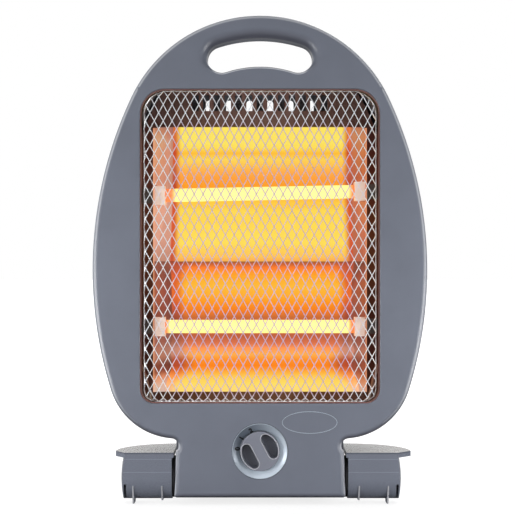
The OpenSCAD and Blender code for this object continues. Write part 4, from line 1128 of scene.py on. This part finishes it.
class HEATER_OT_grille(bpy.types.Operator):
    """Make the expanded-metal grille, with its edges folded back"""
    bl_idname = "heater.grille"
    bl_label = "Grille"

    def execute(self, context):
        tree, given = new_tree("Expanded metal", {
            "Half width": "Float", "Half height": "Float", "Upper corners": "Float",
            "Lower corners": "Float", "Diamond width": "Float", "Diamond height": "Float",
            "Lattice shift": "Vector", "Fold": "Float", "Strand share": "Float", "Finish": "Material",
        })
        add = partial(add_node, tree)

        # A square grid, turned by 45 degrees and stretched into diamonds.
        grid = add("GeometryNodeMeshGrid", {
            "Size X": LATTICE_COUNT, "Size Y": LATTICE_COUNT,
            "Vertices X": LATTICE_COUNT + 1, "Vertices Y": LATTICE_COUNT + 1
        })["Mesh"]
        position = add("GeometryNodeInputPosition")[0]
        u, v, _ = add("SeparateXYZ", position)
        across = add("Math", u, v, operation="SUBTRACT")[0]
        upward = add("Math", u, v, operation="ADD")[0]
        half_wide, half_high = (
            add("Math", given[size], 0.5, operation="MULTIPLY")[0]
            for size in ("Diamond width", "Diamond height")
        )
        x = add("Math", across, half_wide, operation="MULTIPLY")[0]
        z = add("Math", upward, half_high, operation="MULTIPLY")[0]
        lattice = add("GeometryNodeSetPosition", {
            "Geometry": grid, "Position": add("CombineXYZ", x, 0.0, z)[0], "Offset": given["Lattice shift"]
        })[0]

        # How far a point lies outside the rounded rectangle, and its nearest way out.
        px, _, pz = add("SeparateXYZ", position)
        upper = add("Math", pz, 0.0, operation="GREATER_THAN")[0]
        corner = add("Mix", {
            0: upper, 2: given["Lower corners"], 3: given["Upper corners"]
        }, data_type="FLOAT")[0]
        away_x, away_z = (add("Math", along, operation="ABSOLUTE")[0] for along in (px, pz))
        straight_x = add("Math", given["Half width"], corner, operation="SUBTRACT")[0]
        straight_z = add("Math", given["Half height"], corner, operation="SUBTRACT")[0]
        past_x = add("Math", away_x, straight_x, operation="SUBTRACT")[0]
        past_z = add("Math", away_z, straight_z, operation="SUBTRACT")[0]
        out_x, out_z = (add("Math", past, 0.0, operation="MAXIMUM")[0] for past in (past_x, past_z))
        out = add("CombineXYZ", out_x, 0.0, out_z)[0]
        nearer = add("Math", past_x, past_z, operation="MAXIMUM")[0]
        inside = add("Math", nearer, 0.0, operation="MINIMUM")[0]
        within = add("Math", inside, corner, operation="SUBTRACT")[0]
        length = add("VectorMath", out, operation="LENGTH")["Value"]
        distance = add("Math", length, within, operation="ADD")[0]
        quarter_way = add("VectorMath", out, operation="NORMALIZE")[0]
        sign_x, sign_z = (add("Math", along, operation="SIGN")[0] for along in (px, pz))
        signs = add("CombineXYZ", sign_x, 0.0, sign_z)[0]
        way = add("VectorMath", quarter_way, signs, operation="MULTIPLY")[0]

        # Each diamond's middle is cut out, which leaves the strands.
        too_far = add("Math", distance, given["Fold"], operation="GREATER_THAN")[0]
        kept = add("GeometryNodeDeleteGeometry", {
            "Geometry": lattice, "Selection": too_far
        }, domain="FACE")[0]
        raised = add("GeometryNodeExtrudeMesh", {
            "Mesh": kept, "Offset Scale": 0.0, "Individual": True
        }, mode="FACES")
        holes = add("GeometryNodeScaleElements", {
            "Geometry": raised["Mesh"], "Selection": raised["Top"], "Scale": given["Strand share"]
        }, domain="FACE")[0]
        net = add("GeometryNodeDeleteGeometry", {
            "Geometry": holes, "Selection": raised["Top"]
        }, domain="FACE")[0]

        # What lies outside the rectangle is folded straight back.
        over = add("Math", distance, 0.0, operation="MAXIMUM")[0]
        depth = add("Math", over, given["Fold"], operation="MINIMUM")[0]
        inward = add("Math", over, -1.0, operation="MULTIPLY")[0]
        drawn_in = add("VectorMath", {0: way, "Scale": inward}, operation="SCALE")[0]
        turned_back = add("CombineXYZ", 0.0, depth, 0.0)[0]
        fold = add("VectorMath", drawn_in, turned_back, operation="ADD")[0]
        folded = add("GeometryNodeSetPosition", {"Geometry": net, "Offset": fold})[0]
        end_tree(tree, folded, given["Finish"])

        half_w, half_h = mm("opening_w") / 2 - NET_SIDE, mm("opening_h") / 2 - NET_END
        pitch, rise = mm("mesh_pitch"), mm("mesh_rise")
        inradius = pitch * rise / 2 / math.hypot(pitch, rise)
        grille = add_object("grille_net", bpy.data.meshes.new("grille_net"))
        grow_nodes(grille, tree, {
            "Half width": half_w * MM, "Half height": half_h * MM,
            "Upper corners": (mm("opening_top_r") - NET_CORNER) * MM,
            "Lower corners": (mm("opening_low_r") - NET_CORNER) * MM,
            "Diamond width": pitch * MM, "Diamond height": rise * MM, "Fold": mm("mesh_fold") * MM,
            "Lattice shift": Vector(LATTICE_SHIFT) * MM,
            "Strand share": 1 - mm("strand_w") / 2 / inradius, "Finish": MATERIALS["strand"],
        })
        thick = grille.modifiers.new("Sheet", "SOLIDIFY")
        thick.thickness = mm("strand_t") * MM
        thick.offset = 0
        bpy.context.view_layer.update()
        bake(grille)
        middle = place(0, NET_DEPTH, mm("opening_z") + mm("opening_h") / 2)
        grille.data.transform(Matrix.Translation(middle))
        finish(grille, "strand", "heater", ["grille_mesh"], weigh=False)
        return {"FINISHED"}


# ---- Bars ----

# Each bar's height, and how many degrees its right end hangs lower.
BARS = (("upper", 237.0, 1.2), ("lower", 132.0, 0.0))
BAR_DEPTH = 24
TUBE_HALF = 80.6
COIL_LENGTH, COIL_TURNS, COIL_WIRE_R = 141.0, 88.0, 0.3


class HEATER_OT_bars(bpy.types.Operator):
    """Make the two quartz tubes with their coils and ceramic end caps"""
    bl_idname = "heater.bars"
    bl_label = "Bars"

    def execute(self, context):
        for name, z, tilt in BARS:
            middle = place(0, BAR_DEPTH, z)
            there, back = Matrix.Translation(middle), Matrix.Translation(-middle)
            turn = there @ Matrix.Rotation(math.radians(-tilt), 4, "Y") @ back
            r = mm("tube_d") / 2
            rim = [(r, TUBE_HALF - 0.4), (r - 0.3, TUBE_HALF), (r - 1, TUBE_HALF)]
            profile = [(radius, -along) for radius, along in reversed(rim)] + rim + [(r - 1, -TUBE_HALF)]
            tube = lathe("quartz_tube_glass_" + name, profile, (0, BAR_DEPTH, z), 64, "X")
            tube.data.transform(turn)
            finish(tube, "quartz_" + name, "heater", ["quartz_tube_" + name])

            tree, given = new_tree("Heating coil " + name, {
                "Turns": "Float", "Radius": "Float", "Length": "Float", "Wire radius": "Float",
                "Finish": "Material",
            })
            spiral = add_node(tree, "GeometryNodeCurveSpiral", {
                "Resolution": 12, "Rotations": given["Turns"], "Start Radius": given["Radius"],
                "End Radius": given["Radius"], "Height": given["Length"],
            })[0]
            wire = add_node(tree, "GeometryNodeCurvePrimitiveCircle", {
                "Resolution": 5, "Radius": given["Wire radius"]
            })[0]
            wound = add_node(tree, "GeometryNodeCurveToMesh", {
                "Curve": spiral, "Profile Curve": wire, "Fill Caps": True
            })[0]
            end_tree(tree, wound, given["Finish"])
            coil = add_object("heating_coil_wire_" + name, bpy.data.meshes.new("heating_coil_wire_" + name))
            grow_nodes(coil, tree, {
                "Turns": COIL_TURNS, "Radius": (mm("coil_d") / 2 - COIL_WIRE_R) * MM,
                "Length": COIL_LENGTH * MM, "Wire radius": COIL_WIRE_R * MM, "Finish": MATERIALS["coil"],
            })
            centred = Matrix.Translation((0, 0, -COIL_LENGTH / 2 * MM))
            coil.data.transform(turn @ there @ Matrix.Rotation(math.pi / 2, 4, "Y") @ centred)
            finish(coil, "coil", "heater", ["heating_coil_" + name], weigh=False)

            caps = softened("end_caps_" + name, "end_caps_ceramic_" + name, 0.8)
            finish(caps, "ceramic", "heater", ["end_caps_" + name])
        return {"FINISHED"}


# ---- Dial and knob ----

# Each number with its angle on the dial, anticlockwise from the right, in degrees.
NUMBERS = (("0", 174), ("1", 145), ("2", 114))
NUMBER_SIZE, NUMBER_BOLD, NUMBER_THICK, NUMBER_RADIUS = 5.1, 0.34, 0.1, 17.3
# The knob's hollows: their angle as the knob is set, the wall outside them, and their corners.
GRIP_ANGLE, KNOB_WALL, POCKET_CORNER = 118, 1.3, 3.5
# The painted highlight line round a hollow, a pale ring set on the knob: how far out from its outline, and
# its height over the knob's top.
POCKET_HIGHLIGHT = ((0.75, 0.02), (0.55, 0.05), (0.2, 0.0), (0.0, -0.5), (-0.02, -0.9), (0.3, -0.9))


def make_dial():
    """The dial ring with its cup, and the numbers that lie on its slope."""
    z0, outer, dip, sink = mm("knob_z"), mm("dial_d") / 2, mm("dial_dip"), mm("dial_sink")
    inner, hole, floor = mm("knob_d") / 2 + 0.5, 4.2, 0.6
    cup, slope_top, slope_foot = inner + 0.8, outer - 0.5, inner + 0.3
    profile = [
        (hole, -sink), (cup, -sink), (cup, -dip - 0.8), (outer, -0.8), (outer, 0.05),
        (outer - 0.15, 0.2), (slope_top + 0.2, 0.2), (slope_top, 0.1), (slope_foot, 0.1 - dip),
        (inner + 0.1, -dip), (inner, -dip - 0.2), (inner, floor - sink), (hole, floor - sink), (hole, -sink)
    ]
    ring = lathe("dial_cup", profile, (0, 0, z0), 128)
    finish(ring, "dial", "heater", ["dial_ring"], crease=30)

    digits = bmesh.new()
    for text, angle in NUMBERS:
        curve = bpy.data.curves.new("digit", "FONT")
        curve.body = text
        curve.size, curve.offset, curve.extrude = NUMBER_SIZE, NUMBER_BOLD, NUMBER_THICK
        curve.align_x = curve.align_y = "CENTER"
        letter = add_object("digit", curve)
        bpy.context.view_layer.update()
        depsgraph = bpy.context.evaluated_depsgraph_get()
        flat = bpy.data.meshes.new_from_object(letter.evaluated_get(depsgraph))
        bpy.data.objects.remove(letter)
        turn = math.radians(angle)
        for vertex in flat.vertices:
            along, up, proud = vertex.co
            radius = NUMBER_RADIUS + up
            x = radius * math.cos(turn) + along * math.sin(turn)
            z = radius * math.sin(turn) - along * math.cos(turn)
            slope = dip * (slope_top - math.hypot(x, z)) / (slope_top - slope_foot) - 0.1
            vertex.co = place(x, slope - proud - 0.05, z0 + z)
        digits.from_mesh(flat)
    bmesh.ops.remove_doubles(digits, verts=digits.verts, dist=0.002 * MM)
    bmesh.ops.recalc_face_normals(digits, faces=digits.faces)
    finish(from_bmesh("dial_numbers", digits), "ink", "heater", weigh=False)


def make_knob():
    """The knob: a drum with a rounded rim, and two D-shaped hollows beside its grip bar."""
    back, front = 3 - mm("dial_sink"), mm("knob_reach")
    r, bar, depth = mm("knob_d") / 2, mm("grip_w") / 2, mm("grip_depth")
    turn = math.radians(GRIP_ANGLE)

    def turned(outline):
        return [
            (x * math.cos(turn) - y * math.sin(turn), mm("knob_z") + x * math.sin(turn) + y * math.cos(turn))
            for x, y in outline
        ]

    def pocket(side, grow):
        """One hollow's outline: a D with rounded corners, in the knob's own plane."""
        big, line = r - KNOB_WALL - POCKET_CORNER, bar + POCKET_CORNER
        half = math.sqrt(big ** 2 - line ** 2)
        tilt = math.degrees(math.atan2(line, half))
        corner = POCKET_CORNER + grow
        points = arc((half, line), corner, -90, tilt, 8)
        points += arc((0, 0), big + corner, tilt, 180 - tilt, 16)
        points += arc((-half, line), corner, 180 - tilt, 270, 8) + [(-half, line - corner)]
        return [(side * x, side * y) for x, y in points]

    shell = Shell()

    def ring_of(outline, height):
        return shell.loop(turned(outline), -height)

    def rounding(radius, step):
        """How far in and how far down a rim's rounding goes, every step degrees."""
        turns = [math.radians(a) for a in range(0, 91, step)]
        return [(radius * (1 - math.cos(a)), radius * math.sin(a)) for a in turns]

    rim_r, lip_r = 0.7, 0.4
    section = [(3.1, back), (r - 0.3, back), (r, back + 0.3)]
    section += [(r - inward, front - rim_r + up) for inward, up in rounding(rim_r, 15)]
    section += [(r - rim_r - 0.25, front)]
    rim = [ring_of(arc((0, 0), radius, 90, -270, ROUND_STEPS), height) for radius, height in section]
    shell.strip(*rim)
    shell.fill(rim[0])
    # Pale rings round the hollows' edges, a painted highlight.
    highlight_rings, mouths = Shell(), []
    for side in (1, -1):
        loops = [ring_of(pocket(side, lip_r + 0.15), front)]
        for down, along in rounding(lip_r, 18):
            loops.append(ring_of(pocket(side, lip_r - along), front - down))
        loops += [ring_of(pocket(side, grow), front - depth + up) for grow, up in ((-0.3, 0.8), (-1.1, 0))]
        shell.strip(*loops)
        shell.fill(loops[-1])
        mouths.append(loops[0])
        bright = [highlight_rings.loop(turned(pocket(side, grow)), -front - height) for grow, height in POCKET_HIGHLIGHT]
        highlight_rings.strip(*bright, bright[0])
    shell.fill(rim[-1], *mouths)
    knob = shell.piece("knob_cap")
    finish(highlight_rings.piece("knob_hollow_rims"), "painted_edge_highlight", "knob")
    finish(knob, "knob", "knob", ["knob"], crease=40)


class HEATER_OT_dial(bpy.types.Operator):
    """Make the dial ring with its numbers, and the knob with its grip bar"""
    bl_idname = "heater.dial"
    bl_label = "Dial and knob"

    def execute(self, context):
        make_dial()
        make_knob()
        return {"FINISHED"}


# ---- Feet and base ----

# The stop ribs' distances from the middle with how far they reach down, and their half thickness.
RIBS, RIB_HALF = ((98.6, 5.4), (76.1, 2.6)), 0.55
# The right foot's ribs stand farther out than the left one's by this much.
RIGHT_RIB_SHIFT = 0.95


class HEATER_OT_feet(bpy.types.Operator):
    """Make the two folding feet"""
    bl_idname = "heater.feet"
    bl_label = "Feet"

    def execute(self, context):
        for side, sign, shift in (("left", -1, 0), ("right", 1, RIGHT_RIB_SHIFT)):
            node = "foot_" + side
            foot = softened(node, node + "_moulding", 0.5)
            finish(foot, "foot", node, [node])
            # The front ends of the two stop ribs stand out of the barrel.
            fins = Shell()
            for middle, drop in RIBS:
                outline = [(0.4, 9.5), (3.2, 2), (7, -drop), (9, -drop), (9, 9.5)]
                fins.prism(*(
                    fins.points([(sign * (middle + shift + half), depth, z) for depth, z in outline])
                    for half in (-RIB_HALF, RIB_HALF)
                ))
            # The rib ends are painted pale as a highlight.
            finish(fins.piece(node + "_rib_ends"), "painted_edge_highlight", node, weigh=False)
        return {"FINISHED"}


def screw_cast(radius, head, shank_r, shank):
    """A pan head with a cross recess on a shank, along +Y, drawn about the origin."""
    cast = lathe("screw", [
        (0.01, head), (radius * 0.55, head * 0.97), (radius * 0.85, head * 0.75), (radius, head * 0.35),
        (radius, 0), (shank_r, 0), (shank_r, 0.5 - shank), (0.01, -shank)
    ], (0, 0, 0), 24)
    cast.data.transform(Matrix.Translation(-place(0, 0, 0)))
    long, short = 2 * radius * 0.62 * MM, 2 * radius * 0.16 * MM
    for width, height in ((long, short), (short, long)):
        cross = bmesh.new()
        size = Matrix.Diagonal((width, head * MM, height, 1))
        bmesh.ops.create_cube(cross, size=1, matrix=Matrix.Translation((0, -head * MM, 0)) @ size)
        carve(cast, from_bmesh("cross", cross))
    return cast


# For each set of screws: head radius and height, shank radius and length, the way it is turned,
# and its places on the right and left, as distance from the middle, depth and height.
SCREW_SETS = {
    "shell": ((3, 1.6, 1.5, 20), Matrix.Rotation(math.pi, 4, "Z"), [
        (RIM_WELL_PLACE[0], 26, RIM_WELL_PLACE[1]), (WELL_PLACE[0], 26, WELL_PLACE[1])
    ]),
    "shield": ((3, 2, 1.5, 12), Matrix(), [(80, 64, 251), (80, 64, 123)]),
    "switch": ((3, 2, 1.5, 10), Matrix(), [(12, 11, 36.3)]),
    "base": ((3, 2, 1.5, 9), Matrix.Rotation(math.pi / 2, 4, "X"), [(50, 36, 0), (50, 60, 0)]),
}


class HEATER_OT_small_parts(bpy.types.Operator):
    """Make the screws, pads, cord gland and tip-over plunger"""
    bl_idname = "heater.small_parts"
    bl_label = "Small parts"

    def execute(self, context):
        for name, (sizes, turn, places) in SCREW_SETS.items():
            cast = screw_cast(*sizes)
            cast.data.transform(turn)
            points = [(s * x, depth, z) for s in (-1, 1) for x, depth, z in places]
            screws = repeated(name + "_screw_set", cast, points, MATERIALS["zinc"])
            finish(screws, "zinc", "heater", [name + "_screws"], weigh=False)
        finish(softened("base_pads", "base_pads_rubber", 0.6), "rubber", "heater", ["base_pads"])
        finish(softened("cord_gland", "cord_gland_rubber", 0.5), "rubber", "heater", ["cord_gland"])
        plunger = softened("tip_plunger", "tip_plunger_pin", 0.5)
        finish(plunger, "switch", "plunger", ["tip_plunger"])
        return {"FINISHED"}


# ---- Stage ----

# The lights: place, width, height and power. They all look at one place.
LIGHTS = {
    "left_light": ((-0.4, FACE_Y - 0.3, 0.04), 0.2, 0.3, 2.1),
    "right_light": ((0.4, FACE_Y - 0.3, 0.03), 0.2, 0.3, 2.15),
    "top_light": ((-0.3, FACE_Y - 0.5, 1.1), 0.8, 0.5, 0.4),
    "back_light": ((0.3, 1.2, 1.2), 1.2, 0.8, 9),
}
LIT_PLACE = (0, FACE_Y, 0.15)
CAMERA_PLACE, CAMERA_LENS = (-0.0019, FACE_Y - 1.2, 0.192), 108.31
# The room's light: its strength in front, and what it gains to the back, the ceiling and the right.
ROOM, ROOM_BACK, ROOM_UP, ROOM_RIGHT = 0.303, 0.7, 0.42, -0.18


class HEATER_OT_stage(bpy.types.Operator):
    """Set the floor, the lights, the white surroundings and the camera"""
    bl_idname = "heater.stage"
    bl_label = "Stage"

    def execute(self, context):
        scene = context.scene
        floor_mesh = bpy.data.meshes.new("floor")
        floor_mesh.from_pydata([(-8, -8, 0), (8, -8, 0), (8, 12, 0), (-8, 12, 0)], [], [(0, 1, 2, 3)])
        floor = add_object("floor", floor_mesh)
        # Uncoated paper: matt, with a faint mottle.
        material, tree, shader, where = new_material("white_paper_floor")
        _, grain = patches(tree, where, 3, 0.9, 1.0)
        plug(shader, {
            "Base Color": add_node(tree, "Mix", {
                0: grain, 6: rgba("#969696"), 7: rgba("#9C9C9C")
            }, data_type="RGBA")[2],
            "Roughness": 0.9, "Specular IOR Level": 0.1,
        })
        # The camera sees the paper white, and whiter away from the heater, where it bends up.
        seen = add_node(tree, "LightPath")["Is Camera Ray"]
        far = add_node(tree, "VectorMath", where, operation="LENGTH")["Value"]
        lift = add_node(tree, "MapRange", far, 0.2, 0.7, 0.8, 1.0)[0]
        lift = add_node(tree, "Math", seen, lift, operation="MULTIPLY")[0]
        white = (1, 1, 1, 1)
        glow = add_node(tree, "Emission", {"Color": white, "Strength": lift})[0]
        both = add_node(tree, "AddShader", shader.outputs[0], glow)[0]
        plug(tree.nodes["Material Output"], {"Surface": both})
        floor_mesh.materials.append(material)

        world = bpy.data.worlds.new("white_surroundings")
        scene.world = world
        world.use_nodes = True
        tree = world.node_tree
        path = add_node(tree, "LightPath")
        seen = add_node(
            tree, "Math", path["Is Camera Ray"], path["Is Transmission Ray"], operation="MAXIMUM"
        )[0]
        # A white wall behind, a bright ceiling, and a dimmer room in front and to the right.
        wx, wy, wz = add_node(tree, "SeparateXYZ", add_node(tree, "TexCoord")["Generated"])
        behind, above = (add_node(tree, "Math", way, 0.0, operation="MAXIMUM")[0] for way in (wy, wz))
        room = ROOM
        for way, gain in ((behind, ROOM_BACK), (above, ROOM_UP), (wx, ROOM_RIGHT)):
            room = add_node(tree, "Math", way, gain, room, operation="MULTIPLY_ADD")[0]
        strength = add_node(tree, "Mix", {0: seen, 2: room, 3: 1.0}, data_type="FLOAT")[0]
        plug(tree.nodes["Background"], {"Color": white, "Strength": strength})

        for name, (spot, width, height, power) in LIGHTS.items():
            light = bpy.data.lights.new(name, "AREA")
            light.shape, light.size, light.size_y, light.energy = "RECTANGLE", width, height, power
            lamp = add_object(name, light)
            lamp.location = spot
            lamp.rotation_euler = (Vector(LIT_PLACE) - Vector(spot)).to_track_quat("-Z", "Y").to_euler()

        camera = bpy.data.cameras.new("camera")
        camera.sensor_width = 36
        camera.lens = CAMERA_LENS
        view = add_object("camera", camera)
        view.location = CAMERA_PLACE
        view.rotation_euler = (math.pi / 2, 0, 0)
        scene.camera = view
        scene.view_settings.view_transform = "Standard"
        return {"FINISHED"}


class HEATER_PT_pieces(bpy.types.Panel):
    """Lists the heater's steps, sizes and colours"""
    bl_idname = "HEATER_PT_pieces"
    bl_label = "Quartz heater"
    bl_space_type = "VIEW_3D"
    bl_region_type = "UI"
    bl_category = "Heater"

    def draw(self, context):
        for step in STEPS:
            self.layout.operator(step.bl_idname)
        for group in (context.scene.heater_sizes, context.scene.heater_colours):
            column = self.layout.column()
            for key in group.__annotations__:
                column.prop(group, key)


STEPS = (
    HEATER_OT_materials, HEATER_OT_panel, HEATER_OT_cover, HEATER_OT_grille, HEATER_OT_bars,
    HEATER_OT_dial, HEATER_OT_feet, HEATER_OT_small_parts, HEATER_OT_stage,
)
CLASSES = (HeaterSizes, HeaterColours, *STEPS, HEATER_PT_pieces)


def register():
    for item in CLASSES:
        bpy.utils.register_class(item)
    bpy.types.Scene.heater_sizes = bpy.props.PointerProperty(type=HeaterSizes)
    bpy.types.Scene.heater_colours = bpy.props.PointerProperty(type=HeaterColours)


def unregister():
    del bpy.types.Scene.heater_colours
    del bpy.types.Scene.heater_sizes
    for item in reversed(CLASSES):
        bpy.utils.unregister_class(item)


def main():
    register()
    for step in STEPS:
        group, name = step.bl_idname.split(".")
        getattr(getattr(bpy.ops, group), name)()


if __name__ == "__main__":
    main()
